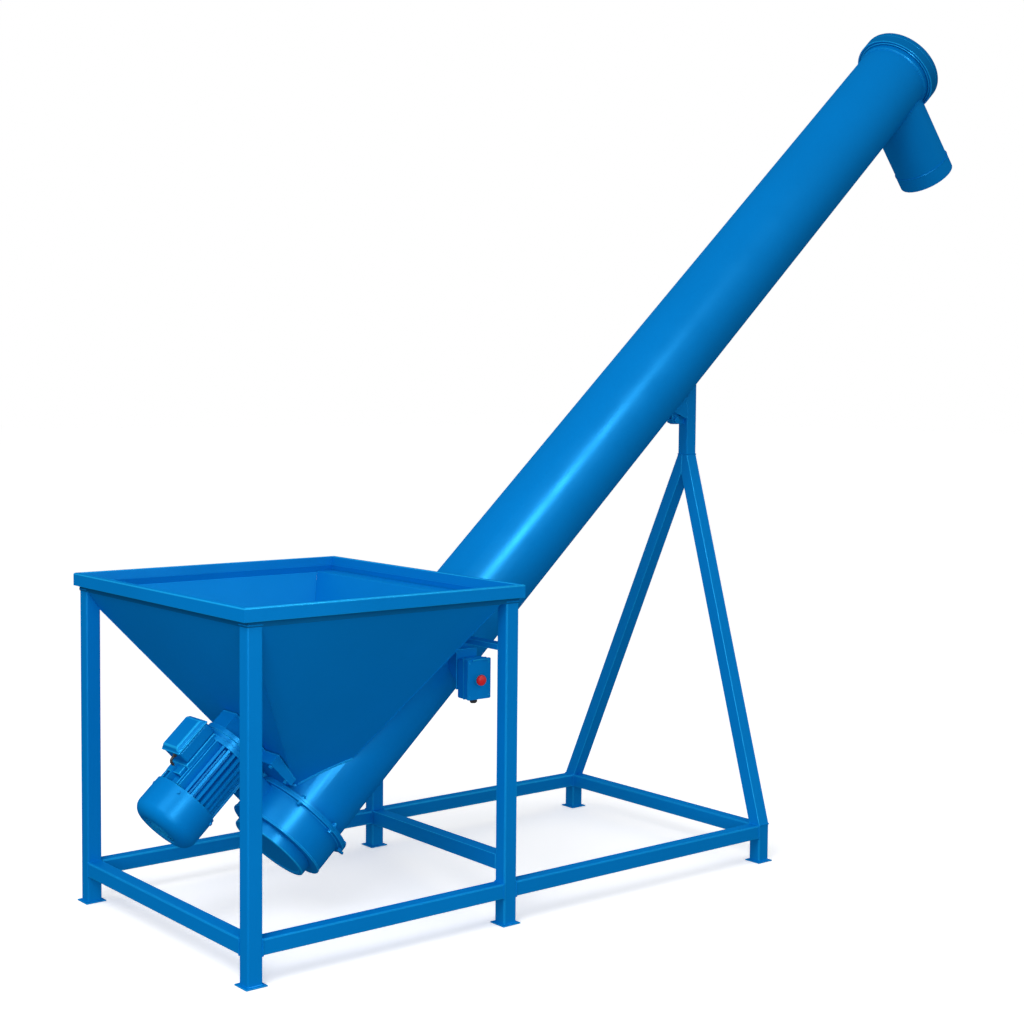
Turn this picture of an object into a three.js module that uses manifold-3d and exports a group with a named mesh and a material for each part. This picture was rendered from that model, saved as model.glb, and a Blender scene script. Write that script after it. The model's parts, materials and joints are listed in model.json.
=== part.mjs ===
// Grain auger: inclined screw conveyor with a square hopper on a welded tube frame.
// Millimetres, +Z up, +X from the hopper towards the discharge spout, tube axis in the plane y = 0.
import * as THREE from 'three';
import { mergeVertices } from 'three/addons/utils/BufferGeometryUtils.js';
import Module from 'manifold-3d';

const wasm = await Module();
wasm.setup();

// ---- driving dimensions ----
const GAP = 0.3;                 // running gap between neighbouring pieces
const ORIGIN_X = 1323.6;         // frame corner to the middle of the overall box
// square-tube frame
const BAR = 35;
const BAR_WALL = 2.5;
const HALF_W = 392.5;            // outer half width of the frame
const X_MID_NEAR = 660;          // near middle post
const X_MID_FAR = 800;           // far middle post
const X_END = 1500;              // short feet under the A-frame
const RAIL_Z = 63;
const POST_TOP = 744.7;
const CROSS_RISE = 62;           // cross rail meets the near post higher
const PLATE = 50;
const PLATE_T = 3;
// hopper
const RIM_TOP = 783;
const RIM_LOW = 753;
const RIM_OUT_X = 12;
const RIM_OUT_Y = 8;
const SHEET = 3;
const HOP_Z = 745;               // top of the sloping walls
const HOP_RIGHT = 648;
const APEX = new THREE.Vector3(365, 0, 235);
const HOP_SHIFT = 5;             // inner pyramid is the outer one lifted by this
// auger tube
const TILT = 43 * Math.PI / 180;
const TUBE_X0 = 103.7;           // where the tube axis meets the floor
const TUBE_R = 109.55;
const TUBE_WALL = 4;
const S_LOW = 342;
const S_TOP = 3216.7;
const FLANGE_R = 137;
const FLANGE_T = 5.3;
// discharge spout
const SPOUT_S = 3161;
const SPOUT_LEAN = 39.5 * Math.PI / 180;
const SPOUT_R = 84.15;
const SPOUT_WALL = 3;
const SPOUT_LEN = 327;
const SLEEVE = 45;
// top end
const TOP_R = 127;
// gear housing at the low end
const DRUM_R = 122;
const DRUM_S0 = 262;
const CAP_R = 98;
const CAP_S0 = 236;
// gears
const MOD_FINAL = 3;
const Z_WHEEL = 76;
const Z_PINION = 16;
const MOD_TRAIN = 2;
const Z_TRAIN = 21;
const Z_IDLER = 35;
const A_LAY = MOD_FINAL * (Z_WHEEL + Z_PINION) / 2;
const A_IDLER = A_LAY + MOD_TRAIN * (Z_TRAIN + Z_IDLER) / 2;
const A_MOTOR = A_IDLER + MOD_TRAIN * (Z_TRAIN + Z_IDLER) / 2;
// drive casing and motor
const CASE_S0 = 347.6;
const CASE_S1 = 400;
const CASE_CLEAR = 2;            // casing cover to the hopper wall above it
const COVER_T = 3;
const TRAIN_S0 = 351.5;
const TRAIN_S1 = 360;
const MOTOR_S = 323.3;           // front of the stator
const CASE_LOW = [111.2, 32];        // reach from the tube's axis and half width, corner by corner
const CASE_WING = [124, 104];
const CASE_STEP = 200;
const CASE_NECK = 44;
const CASE_END = [309, 30];
const CASE_WALL = 3;
const MOTOR_FLANGE_R = 70;
const COWL_R = 78.6;
const FIN_R = 74;
// screw
const SHAFT_R = 24;
const JOURNAL_R = 17.5;
const FLIGHT_R = 98;
const PITCH = 220;
const FLIGHT_S0 = 356;
const FLIGHT_S1 = 3122;
// A-frame
const AF_X_TOP = 1580;
const AF_Z = 1050;
const BOLT_X = 1543;
const BOLT_Z = 1144;
const BOLT_R = 6;
const BOLT_HEX = 10;
const GUSSET_T = 4.5;        // folded side plates between the tube and the post
const GUSSET_Z = 1148;
// control box
const BOX_X0 = 705;
const BOX_X1 = 772;
const BOX_Z0 = 486;
const BOX_Z1 = 582;
const BOX_Y = -187.5;

// ---- solids from three.js geometry ----
function signedVolume(position, index) {
  let sum = 0;
  const a = new THREE.Vector3();
  const b = new THREE.Vector3();
  const c = new THREE.Vector3();
  for (let i = 0; i < index.length; i += 3) {
    a.fromBufferAttribute(position, index[i]);
    b.fromBufferAttribute(position, index[i + 1]);
    c.fromBufferAttribute(position, index[i + 2]);
    sum += a.dot(b.cross(c));
  }
  return sum;
}

function solid(geometry) {
  const g = geometry.clone();
  g.deleteAttribute('normal');
  g.deleteAttribute('uv');
  const m = mergeVertices(g, 1e-4);
  const index = Array.from(m.index.array);
  const kept = [];
  for (let i = 0; i < index.length; i += 3) {
    const [a, b, c] = index.slice(i, i + 3);
    if (a !== b && b !== c && a !== c) kept.push(a, b, c);
  }
  if (signedVolume(m.attributes.position, kept) < 0) {
    for (let i = 0; i < kept.length; i += 3) [kept[i + 1], kept[i + 2]] = [kept[i + 2], kept[i + 1]];
  }
  return new wasm.Manifold(new wasm.Mesh({
    numProp: 3,
    vertProperties: Float32Array.from(m.attributes.position.array),
    triVerts: Uint32Array.from(kept),
  }));
}

const join = (...parts) => parts.reduce((sum, part) => sum.add(part));
const cut = (body, ...tools) => tools.reduce((left, tool) => left.subtract(tool), body);

function geometryOf(body) {
  const mesh = body.getMesh();
  const g = new THREE.BufferGeometry();
  g.setAttribute('position', new THREE.BufferAttribute(Float32Array.from(mesh.vertProperties), 3));
  g.setIndex(Array.from(mesh.triVerts));
  return g;
}

function box(x0, x1, y0, y1, z0, z1) {
  const g = new THREE.BoxGeometry(x1 - x0, y1 - y0, z1 - z0);
  g.translate((x0 + x1) / 2, (y0 + y1) / 2, (z0 + z1) / 2);
  return solid(g);
}

// turned piece about Z from [radius, height] pairs; a ring profile closes on itself
function turned(profile, segments = 48) {
  const closed = profile.every(([r]) => r > 0) ? [...profile, profile[0]] : profile;
  const g = new THREE.LatheGeometry(closed.map(([r, z]) => new THREE.Vector2(r, z)), segments);
  g.rotateX(Math.PI / 2);
  return solid(g);
}

const rod = (r, z0, z1, segments = 24) => turned([[0, z0], [r, z0], [r, z1], [0, z1]], segments);
const ring = (ro, ri, z0, z1, segments = 40) => turned([[ri, z0], [ro, z0], [ro, z1], [ri, z1]], segments);

function prism(points, depth, holes = []) {
  const shape = new THREE.Shape(points.map(([x, y]) => new THREE.Vector2(x, y)));
  for (const hole of holes) shape.holes.push(new THREE.Path(hole.map(([x, y]) => new THREE.Vector2(x, y))));
  return new THREE.ExtrudeGeometry(shape, { depth, bevelEnabled: false });
}

function hull8(low, high) {
  const p = [...low, ...high].flat();
  const quads = [[0, 3, 2, 1], [4, 5, 6, 7], [0, 1, 5, 4], [1, 2, 6, 5], [2, 3, 7, 6], [3, 0, 4, 7]];
  const g = new THREE.BufferGeometry();
  g.setAttribute('position', new THREE.BufferAttribute(Float32Array.from(p), 3));
  g.setIndex(quads.flatMap(([a, b, c, d]) => [a, b, c, a, c, d]));
  return solid(g);
}

// ---- square tube with rounded corners ----
function roundedSquare(w, h, r, steps = 2) {
  const pts = [];
  const corners = [[w - r, h - r, 0], [r, h - r, 1], [r, r, 2], [w - r, r, 3]];
  for (const [cx, cy, q] of corners) {
    for (let i = 0; i <= steps; i += 1) {
      const a = (q + i / steps) * Math.PI / 2;
      pts.push([cx + r * Math.cos(a), cy + r * Math.sin(a)]);
    }
  }
  return pts;
}

function tubeSection(w = BAR, h = BAR) {
  const t = BAR_WALL;
  const outer = roundedSquare(w, h, 3);
  const inner = [[t, t], [w - t, t], [w - t, h - t], [t, h - t]];
  return { outer, inner };
}

function barZ(x, y, z0, z1) {
  const { outer, inner } = tubeSection();
  const g = prism(outer, z1 - z0, [inner]);
  g.translate(x, y, z0);
  return solid(g);
}

function barX(x0, x1, y, z) {
  const { outer, inner } = tubeSection();
  const g = prism(outer, x1 - x0, [inner]);
  g.rotateX(Math.PI / 2);
  g.rotateZ(Math.PI / 2);
  g.translate(x0, y, z);
  return solid(g);
}

function barY(y0, y1, x, z) {
  const { outer, inner } = tubeSection();
  const g = prism(outer, y1 - y0, [inner]);
  g.rotateX(Math.PI / 2);
  g.translate(x, y1, z);
  return solid(g);
}

// ---- tube frame: local X away from the floor, local Z up along the tube ----
const DIR = new THREE.Vector3(Math.cos(TILT), 0, Math.sin(TILT));
const UP = new THREE.Vector3(-Math.sin(TILT), 0, Math.cos(TILT));
const SIDE = new THREE.Vector3(0, -1, 0);
const TUBE_FRAME = new THREE.Matrix4().makeBasis(UP, SIDE, DIR)
  .setPosition(new THREE.Vector3(TUBE_X0, 0, 0));

function transform(body, matrix) {
  const g = geometryOf(body);
  g.applyMatrix4(matrix);
  return solid(g);
}

const onTube = (body) => transform(body, TUBE_FRAME);
const shifted = (body, x, y, z) => body.translate([x, y, z]);

const tubeKeepOut = onTube(rod(TUBE_R + GAP, S_LOW - 40, S_TOP + 40, 48));

// ---- hopper pyramid ----
function pyramid(lift, zTop, grow = 0) {
  const k = (zTop - lift - APEX.z) / (HOP_Z - APEX.z);
  const x0 = APEX.x + (0 - APEX.x) * k - grow;
  const x1 = APEX.x + (HOP_RIGHT - APEX.x) * k + grow;
  const y1 = HALF_W * k + grow;
  const apex = [APEX.x, 0, APEX.z + lift - grow];
  const p = [[x0, -y1, zTop], [x1, -y1, zTop], [x1, y1, zTop], [x0, y1, zTop], apex].flat();
  const g = new THREE.BufferGeometry();
  g.setAttribute('position', new THREE.BufferAttribute(Float32Array.from(p), 3));
  g.setIndex([0, 1, 4, 1, 2, 4, 2, 3, 4, 3, 0, 4, 0, 2, 1, 0, 3, 2]);
  return solid(g);
}

const hopperSpace = pyramid(HOP_SHIFT, HOP_Z + 20);
const hopperKeepOut = pyramid(-GAP, HOP_Z + 20, 0.2);

// plane through the corner seam of two walls, used to part them
function seamPlane(cornerX, cornerY) {
  const top = new THREE.Vector3(cornerX, cornerY, HOP_Z);
  const along = top.clone().sub(APEX);
  const lift = new THREE.Vector3(0, 0, 1);
  return { point: APEX.clone(), normal: along.cross(lift).normalize() };
}

function keepSide(body, plane, side) {
  const n = plane.normal.clone().multiplyScalar(side);
  return body.trimByPlane([n.x, n.y, n.z], n.dot(plane.point) + GAP / 2);
}

function hopperWall(which) {
  const shell = cut(pyramid(0, HOP_Z - GAP), pyramid(HOP_SHIFT, HOP_Z + 20), tubeKeepOut);
  const seams = {
    nl: seamPlane(0, -HALF_W),
    nr: seamPlane(HOP_RIGHT, -HALF_W),
    fl: seamPlane(0, HALF_W),
    fr: seamPlane(HOP_RIGHT, HALF_W),
  };
  const sides = {
    near: [['nl', -1], ['nr', 1]],
    far: [['fl', 1], ['fr', -1]],
    low: [['nl', 1], ['fl', -1]],
    high: [['nr', -1], ['fr', 1]],
  };
  return sides[which].reduce((body, [name, side]) => keepSide(body, seams[name], side), shell);
}

function largest(body) {
  const pieces = body.decompose();
  return pieces.reduce((best, piece) => (piece.volume() > best.volume() ? piece : best));
}

function highWall() {
  const ledge = box(HOP_RIGHT - 2.6, X_MID_NEAR + BAR - SHEET - GAP, -HALF_W + SHEET + GAP,
    HALF_W - SHEET - GAP, HOP_Z - 1, HOP_Z + 2);
  const postRoom = box(X_MID_NEAR - 1, 720, -HALF_W - 1, HALF_W + 1, HOP_Z - 3, HOP_Z);
  const wall = largest(hopperWall('high'));
  return largest(cut(join(wall, cut(ledge, postRoom)), hopperSpace));
}

function rimBand() {
  const ringBox = (x0, x1, y, t, z0, z1, tx = t) => cut(box(x0, x1, -y, y, z0, z1),
    box(x0 + tx, x1 - tx, -y + t, y - t, z0 - 1, z1 + 1));
  const x1 = X_MID_NEAR + BAR;
  const yo = HALF_W + RIM_OUT_Y;
  const outer = ringBox(-RIM_OUT_X, x1 + RIM_OUT_X, yo, SHEET, RIM_LOW, RIM_TOP);
  const lip = ringBox(-RIM_OUT_X, x1 + RIM_OUT_X, yo, RIM_OUT_Y + SHEET, RIM_TOP - SHEET, RIM_TOP,
    RIM_OUT_X + SHEET);
  const inner = ringBox(0, x1, HALF_W, SHEET, HOP_Z, RIM_TOP);
  return join(outer, lip, inner);
}

// ---- frame pieces ----
function post(x, near, z1 = POST_TOP) {
  const y = near ? -HALF_W : HALF_W - BAR;
  return barZ(x, y, PLATE_T + GAP, z1);
}

const hopperPost = (x, near) => largest(cut(post(x, near), hopperKeepOut));

function footPlate(x, near) {
  const y = near ? -HALF_W : HALF_W - BAR;
  const p = (PLATE - BAR) / 2;
  return box(x - p, x + BAR + p, y - p, y + BAR + p, 0, PLATE_T);
}

function crossRail() {
  const y0 = -HALF_W + BAR + GAP;
  const y1 = HALF_W - BAR - GAP;
  const end = (x, y, z, t) => [[x + t, y, z + t], [x + BAR - t, y, z + t],
    [x + BAR - t, y, z + BAR - t], [x + t, y, z + BAR - t]];
  const z0 = RAIL_Z + CROSS_RISE;
  const at = (k) => [X_MID_NEAR + (X_MID_FAR - X_MID_NEAR) * k, y0 + (y1 - y0) * k, z0 - CROSS_RISE * k];
  const outer = hull8(end(...at(0), 0), end(...at(1), 0));
  return cut(outer, hull8(end(...at(-0.01), BAR_WALL), end(...at(1.01), BAR_WALL)));
}

function aLeg(side) {
  const wide = BAR / Math.cos(Math.atan2(HALF_W - BAR / 2, AF_Z - RAIL_Z - BAR));
  const level = (k, t) => {
    const z = RAIL_Z + BAR + GAP + (AF_Z - RAIL_Z - BAR - 2 * GAP) * k;
    const x = X_END + (AF_X_TOP - X_END) * k;
    const y = -HALF_W + (HALF_W - BAR / 2) * k;
    const yy = [side * (-y - t), side * (-y - wide + t)].sort((a, b) => a - b);
    return [[x + t, yy[0], z], [x + BAR - t, yy[0], z], [x + BAR - t, yy[1], z], [x + t, yy[1], z]];
  };
  const leg = cut(hull8(level(0, 0), level(1, 0)), hull8(level(-0.01, BAR_WALL), level(1.01, BAR_WALL)));
  return leg.trimByPlane([0, side, 0], GAP / 2);
}

// round bar on the pivot bolt's axis
function boltRod(r, y0, y1) {
  const turn = new THREE.Matrix4().makeRotationX(Math.PI / 2);
  return shifted(transform(rod(r, y0, y1, 24), turn), BOLT_X, 0, BOLT_Z);
}

function aPost() {
  const bar = barZ(AF_X_TOP, -BAR / 2, AF_Z, AF_Z + 260);
  const lug = cut(join(box(BOLT_X, AF_X_TOP + 1, -4, 4, BOLT_Z - 11, BOLT_Z + 11),
    boltRod(11, -4, 4)), boltRod(BOLT_R + GAP, -20, 20));
  const bore = box(AF_X_TOP + BAR_WALL, AF_X_TOP + BAR - BAR_WALL, -15, 15, AF_Z - 1, AF_Z + 270);
  return largest(cut(join(bar, cut(lug, bore)), tubeKeepOut));
}

function cradle() {
  const s1 = (BOLT_X - TUBE_X0) / Math.cos(TILT);
  const pad = onTube(box(-TUBE_R - 5, -TUBE_R + 6, -BAR / 2, BAR / 2, s1 - 150, s1 - 3));
  const plate = (outline, y, thick) => {
    const g = prism(outline, thick);
    g.rotateX(Math.PI / 2);
    g.translate(0, y + thick, 0);
    return solid(g);
  };
  const edge = AF_X_TOP - GAP;
  const high = BOLT_Z + 60;
  const gusset = [[BOLT_X - 15, BOLT_Z + 24], [edge, GUSSET_Z], [edge, GUSSET_Z + 96], [BOLT_X - 26, high]];
  const eye = [[BOLT_X - 11, BOLT_Z], [BOLT_X + 11, BOLT_Z], [BOLT_X + 11, high], [BOLT_X - 16, high]];
  const eyes = [4.3, -9.3].map((y) => join(plate(eye, y, 5), boltRod(11, -y - 5, -y)));
  const sides = [BAR / 2 - GUSSET_T, -BAR / 2].map((y) => plate(gusset, y, GUSSET_T));
  const postRoom = box(edge, edge + 60, -40, 40, AF_Z, AF_Z + 300);
  const whole = join(...eyes, ...sides, pad);
  return largest(cut(whole, tubeKeepOut, boltRod(BOLT_R + GAP, -40, 40), postRoom));
}

function pivotBolt() {
  const turn = new THREE.Matrix4().makeRotationX(Math.PI / 2);
  const shank = rod(BOLT_R, -20, 18, 24);
  const head = turned([[0, 9.6], [BOLT_HEX, 9.6], [BOLT_HEX, 17.1], [0, 17.1]], 6);
  const nut = turned([[0, -18.6], [BOLT_HEX, -18.6], [BOLT_HEX, -9.6], [0, -9.6]], 6);
  return shifted(transform(join(shank, head, nut), turn), BOLT_X, 0, BOLT_Z);
}

function tubeBrace() {
  return largest(cut(box(X_MID_NEAR + 2, X_MID_NEAR + BAR - 2, -HALF_W + BAR + GAP, -50, 631, 645),
    tubeKeepOut));
}

// ---- auger tube, spout, end housings (local tube frame: X = away from floor, Z = along) ----
const SPOUT_DIR = new THREE.Vector3(Math.sin(SPOUT_LEAN), 0, -Math.cos(SPOUT_LEAN));
const spoutOrigin = DIR.clone().multiplyScalar(SPOUT_S).add(new THREE.Vector3(TUBE_X0, 0, 0));
const SPOUT_FRAME = new THREE.Matrix4().makeBasis(
  new THREE.Vector3(-Math.cos(SPOUT_LEAN), 0, -Math.sin(SPOUT_LEAN)),
  new THREE.Vector3(0, 1, 0), SPOUT_DIR).setPosition(spoutOrigin);

function augerTube() {
  const body = ring(TUBE_R, TUBE_R - TUBE_WALL, S_LOW, S_TOP, 44);
  const flange = ring(FLANGE_R, TUBE_R - 1, S_LOW, S_LOW + FLANGE_T, 44);
  const pass = shifted(rod(13, S_LOW - 1, S_LOW + FLANGE_T + 1, 24), A_LAY, 0, 0);
  const shell = onTube(cut(join(body, flange), pass));
  const spoutBore = transform(rod(SPOUT_R - SPOUT_WALL, 20, 200, 48), SPOUT_FRAME);
  return largest(cut(shell, hopperSpace, spoutBore));
}

function spout() {
  const pipe = ring(SPOUT_R, SPOUT_R - SPOUT_WALL, 30, SPOUT_LEN - 2, 32);
  const sleeve = ring(SPOUT_R + 1.6, SPOUT_R - 1, SPOUT_LEN - SLEEVE, SPOUT_LEN, 32);
  const topRoom = onTube(rod(TOP_R + GAP, S_TOP, S_TOP + 80, 40));
  return largest(cut(transform(join(pipe, sleeve), SPOUT_FRAME), tubeKeepOut, topRoom));
}

function topFlange() {
  return onTube(turned([[JOURNAL_R + 0.8, S_TOP + GAP], [TOP_R - 1.5, S_TOP + GAP], [TOP_R, S_TOP + 1.8],
    [TOP_R, S_TOP + 27.7], [36.3, S_TOP + 27.7], [36.3, S_TOP + 12], [JOURNAL_R + 0.8, S_TOP + 12]], 40));
}

function topCover() {
  return onTube(turned([[0, S_TOP + 36], [40, S_TOP + 36], [40, S_TOP + 28], [TOP_R, S_TOP + 28],
    [TOP_R, S_TOP + 41], [TOP_R - 5, S_TOP + 46], [0, S_TOP + 46]], 40));
}

function bearing(s0) {
  return onTube(ring(36, JOURNAL_R + GAP, s0, s0 + 14, 20));
}

function drumHousing() {
  const shell = turned([[62, DRUM_S0], [DRUM_R - 2, DRUM_S0], [DRUM_R, DRUM_S0 + 2], [DRUM_R, 336],
    [FLANGE_R, 336], [FLANGE_R, S_LOW - GAP], [JOURNAL_R + 0.8, S_LOW - GAP], [JOURNAL_R + 0.8, 336],
    [DRUM_R - 3, 336], [DRUM_R - 3, 266], [62, 266]], 40);
  const hump = box(90, 170, -31, 31, 272, 336);
  const room = box(60, 167, -28, 28, 276, 336);
  const pass = shifted(rod(12, 330, 350, 20), A_LAY, 0, 0);
  return onTube(cut(join(shell, cut(hump, rod(DRUM_R - 2, 260, 345, 40))), room, pass));
}

function endCap() {
  return onTube(turned([[0, CAP_S0], [CAP_R - 3, CAP_S0], [CAP_R, CAP_S0 + 3], [CAP_R, DRUM_S0 - GAP],
    [36.3, DRUM_S0 - GAP], [36.3, CAP_S0 + 7], [0, CAP_S0 + 7]], 40));
}

// ---- gears: involute flanks, addendum 1 m, dedendum 1.25 m, thinned for backlash ----
function gear(module, teeth, s0, s1, boreR, toothAt, web = []) {
  const r = module * teeth / 2;
  const base = r * Math.cos(20 * Math.PI / 180);
  const tip = r + module * 0.95;
  const root = r - 1.25 * module;
  const inv = (a) => Math.tan(a) - a;
  const half = Math.PI / (2 * teeth) - 0.35 / (2 * r) + inv(20 * Math.PI / 180);
  const flank = [];
  const start = Math.max(base, root);
  for (const rr of [start, tip]) {
    flank.push([rr, half - inv(Math.acos(Math.min(1, base / rr)))]);
  }
  if (root < base - 0.01) flank.unshift([root, half]);
  const pts = [];
  for (let k = 0; k < teeth; k += 1) {
    const c = toothAt + 2 * Math.PI * k / teeth;
    for (const [rr, a] of flank) pts.push([rr * Math.cos(c - a), rr * Math.sin(c - a)]);
    for (const [rr, a] of [...flank].reverse()) pts.push([rr * Math.cos(c + a), rr * Math.sin(c + a)]);
  }
  const circle = (cx, cy, rad, n) => Array.from({ length: n }, (_, i) => [
    cx + rad * Math.cos(2 * Math.PI * i / n), cy + rad * Math.sin(2 * Math.PI * i / n)]);
  const holes = [];
  if (boreR > 0) holes.push(circle(0, 0, boreR, 20));
  for (const [cx, cy, rad] of web) holes.push(circle(cx, cy, rad, 10));
  const g = prism(pts, s1 - s0, holes);
  g.translate(0, 0, s0);
  return solid(g);
}

const deg = (d) => d * Math.PI / 180;

function outputWheel() {
  const holes = Array.from({ length: 6 }, (_, i) => (
    [72 * Math.cos(deg(60 * i)), 72 * Math.sin(deg(60 * i)), 19]));
  const wheel = gear(MOD_FINAL, Z_WHEEL, 283, 306, JOURNAL_R + GAP, 0, holes);
  return onTube(join(wheel, ring(36, JOURNAL_R + GAP, 279, 314, 20)));
}

function layShaft() {
  const pinion = gear(MOD_FINAL, Z_PINION, 282, 307, 0, deg(180 + 180 / Z_PINION));
  const shaft = rod(9, 279, TRAIN_S1 + 1.5, 16);
  return onTube(shifted(join(pinion, shaft), A_LAY, 0, 0));
}

function layGear() {
  return onTube(shifted(gear(MOD_TRAIN, Z_TRAIN, TRAIN_S0, TRAIN_S1, 9 + GAP, 0), A_LAY, 0, 0));
}

function idlerGear() {
  return onTube(shifted(gear(MOD_TRAIN, Z_IDLER, TRAIN_S0, TRAIN_S1, 8.3,
    deg(180 + 180 / Z_IDLER)), A_IDLER, 0, 0));
}

function motorPinion() {
  return onTube(shifted(gear(MOD_TRAIN, Z_TRAIN, TRAIN_S0, TRAIN_S1, 9 + GAP,
    deg(180 + 180 / Z_TRAIN)), A_MOTOR, 0, 0));
}

// ---- drive casing: its cover lies along the sloping hopper wall ----
function wallPlane(clear) {
  const slope = APEX.x / (HOP_Z - APEX.z);
  const n = new THREE.Vector3(-1, 0, -slope).normalize();
  return { n, offset: n.dot(new THREE.Vector3(0, 0, HOP_Z)) + clear };
}

function belowWall(body, clear) {
  const { n, offset } = wallPlane(clear);
  return body.trimByPlane([n.x, n.y, n.z], offset);
}

function aboveWall(body, clear) {
  const { n, offset } = wallPlane(clear);
  return body.trimByPlane([-n.x, -n.y, -n.z], -offset);
}

// wide part across the hopper's foot with a narrower neck reaching the motor shaft
function casingSlab(inset, s0) {
  const half = [[CASE_LOW[0] + inset * 0.66, CASE_LOW[1] - inset],
    [CASE_WING[0] + inset, CASE_WING[1] - inset],
    [CASE_STEP - inset, CASE_WING[1] - inset],
    [CASE_STEP - inset, CASE_NECK - inset],
    [CASE_END[0] - inset, CASE_END[1] - inset]];
  const mirrored = half.map(([a, b]) => [a, -b]).reverse();
  const g = prism([...half, ...mirrored], CASE_S1 - s0);
  g.translate(0, 0, s0);
  return onTube(solid(g));
}

function casing() {
  const outer = belowWall(casingSlab(0, CASE_S0), CASE_CLEAR + COVER_T + GAP);
  const inner = casingSlab(CASE_WALL, CASE_S0 + CASE_WALL);
  const holes = [[9.5, A_LAY], [13, A_MOTOR]].map(([r, a]) => (
    onTube(shifted(rod(r, CASE_S0 - 1, CASE_S0 + 4), a, 0, 0))));
  const pin = onTube(shifted(rod(8, CASE_S0 + 1, TRAIN_S1 + 1), A_IDLER, 0, 0));
  return join(cut(outer, inner, ...holes), pin);
}

function casingCover() {
  return aboveWall(belowWall(casingSlab(0, CASE_S0), CASE_CLEAR), CASE_CLEAR + COVER_T);
}

// ---- motor ----
function motorFlange() {
  return onTube(shifted(turned([[12.6, MOTOR_S + GAP], [66, MOTOR_S + GAP], [66, CASE_S0 - 12],
    [MOTOR_FLANGE_R, CASE_S0 - 12], [MOTOR_FLANGE_R, CASE_S0 - GAP], [12.6, CASE_S0 - GAP]], 36),
  A_MOTOR, 0, 0));
}

function statorOutline() {
  const pts = [];
  const fins = 24;
  for (let k = 0; k < fins; k += 1) {
    const c = 2 * Math.PI * (k + 0.5) / fins;
    const w = 2 * Math.PI / fins;
    for (const [rr, f] of [[64, -0.27], [FIN_R, -0.2], [FIN_R, 0.2], [64, 0.27]]) {
      pts.push([rr * Math.cos(c + f * w), rr * Math.sin(c + f * w)]);
    }
  }
  return pts;
}

function stator() {
  const bore = Array.from({ length: 24 }, (_, i) => [
    48 * Math.cos(2 * Math.PI * i / 24), 48 * Math.sin(2 * Math.PI * i / 24)]);
  const g = prism(statorOutline(), MOTOR_S - 180, [bore]);
  g.translate(0, 0, 180);
  const shield = ring(58, 12.6, 180, 186, 26);
  const pad = cut(box(50, FIN_R + 0.4, -30, 30, 232, MOTOR_S - 1), rod(56, 200, 340, 26));
  return onTube(shifted(join(solid(g), shield, pad), A_MOTOR, 0, 0));
}

function cowl() {
  const cup = turned([[0, 95], [62, 95], [70.5, 99], [76, 107], [COWL_R, 119], [COWL_R, 184],
    [COWL_R - 2.2, 184], [COWL_R - 2.2, 119.5], [69, 101.4], [61, 97.6], [0, 97.6]], 32);
  const slots = [];
  for (let i = 0; i < 12; i += 1) {
    const slot = box(20, 54, -2.6, 2.6, 93, 99);
    slots.push(transform(slot, new THREE.Matrix4().makeRotationZ(deg(30 * i))));
  }
  return onTube(shifted(cut(cup, ...slots), A_MOTOR, 0, 0));
}

function motorShaft() {
  const shaft = turned([[0, 130], [12, 130], [12, 192], [46, 192], [46, 316], [12, 316], [12, 348.5],
    [9, 350], [9, TRAIN_S1 + 1.5], [0, TRAIN_S1 + 1.5]], 20);
  return onTube(shifted(shaft, A_MOTOR, 0, 0));
}

function motorFan() {
  const hub = ring(22, 12 + GAP, 138, 164, 16);
  const disc = ring(66, 12 + GAP, 161, 164, 20);
  const blades = [];
  for (let i = 0; i < 7; i += 1) {
    const turn = new THREE.Matrix4().makeRotationZ(deg(i * 360 / 7));
    blades.push(transform(box(20, 64, -1.3, 1.3, 140, 162.5), turn));
  }
  return onTube(shifted(join(hub, disc, ...blades), A_MOTOR, 0, 0));
}

function terminalBox() {
  const a0 = A_MOTOR + FIN_R + 0.4 + GAP;
  const shell = cut(box(a0, a0 + 30, -38, 38, 234, 326), box(a0 + 3, a0 + 31, -35, 35, 237, 323));
  return onTube(shell);
}

function terminalLid() {
  const a0 = A_MOTOR + FIN_R + 0.4 + GAP + 30 + GAP;
  const low = (y, s0, s1, a) => [[a, -y, s0], [a, y, s0], [a, y, s1], [a, -y, s1]];
  return onTube(hull8(low(40, 232, 328, a0), low(33, 239, 321, a0 + 14)));
}

function terminalGland() {
  const a = A_MOTOR + FIN_R + 25;
  const r = 4;
  const path = new THREE.CatmullRomCurve3([new THREE.Vector3(a, 12, 233.7), new THREE.Vector3(a, 12, 221),
    new THREE.Vector3(a - 3, 12, 216.5), new THREE.Vector3(a - 17, 12, 215)]);
  const shape = new THREE.Shape(Array.from({ length: 10 }, (_, i) => new THREE.Vector2(
    r * Math.cos(2 * Math.PI * i / 10), r * Math.sin(2 * Math.PI * i / 10))));
  const settings = { steps: 10, bevelEnabled: false, extrudePath: path };
  return onTube(solid(new THREE.ExtrudeGeometry(shape, settings)));
}

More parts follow.
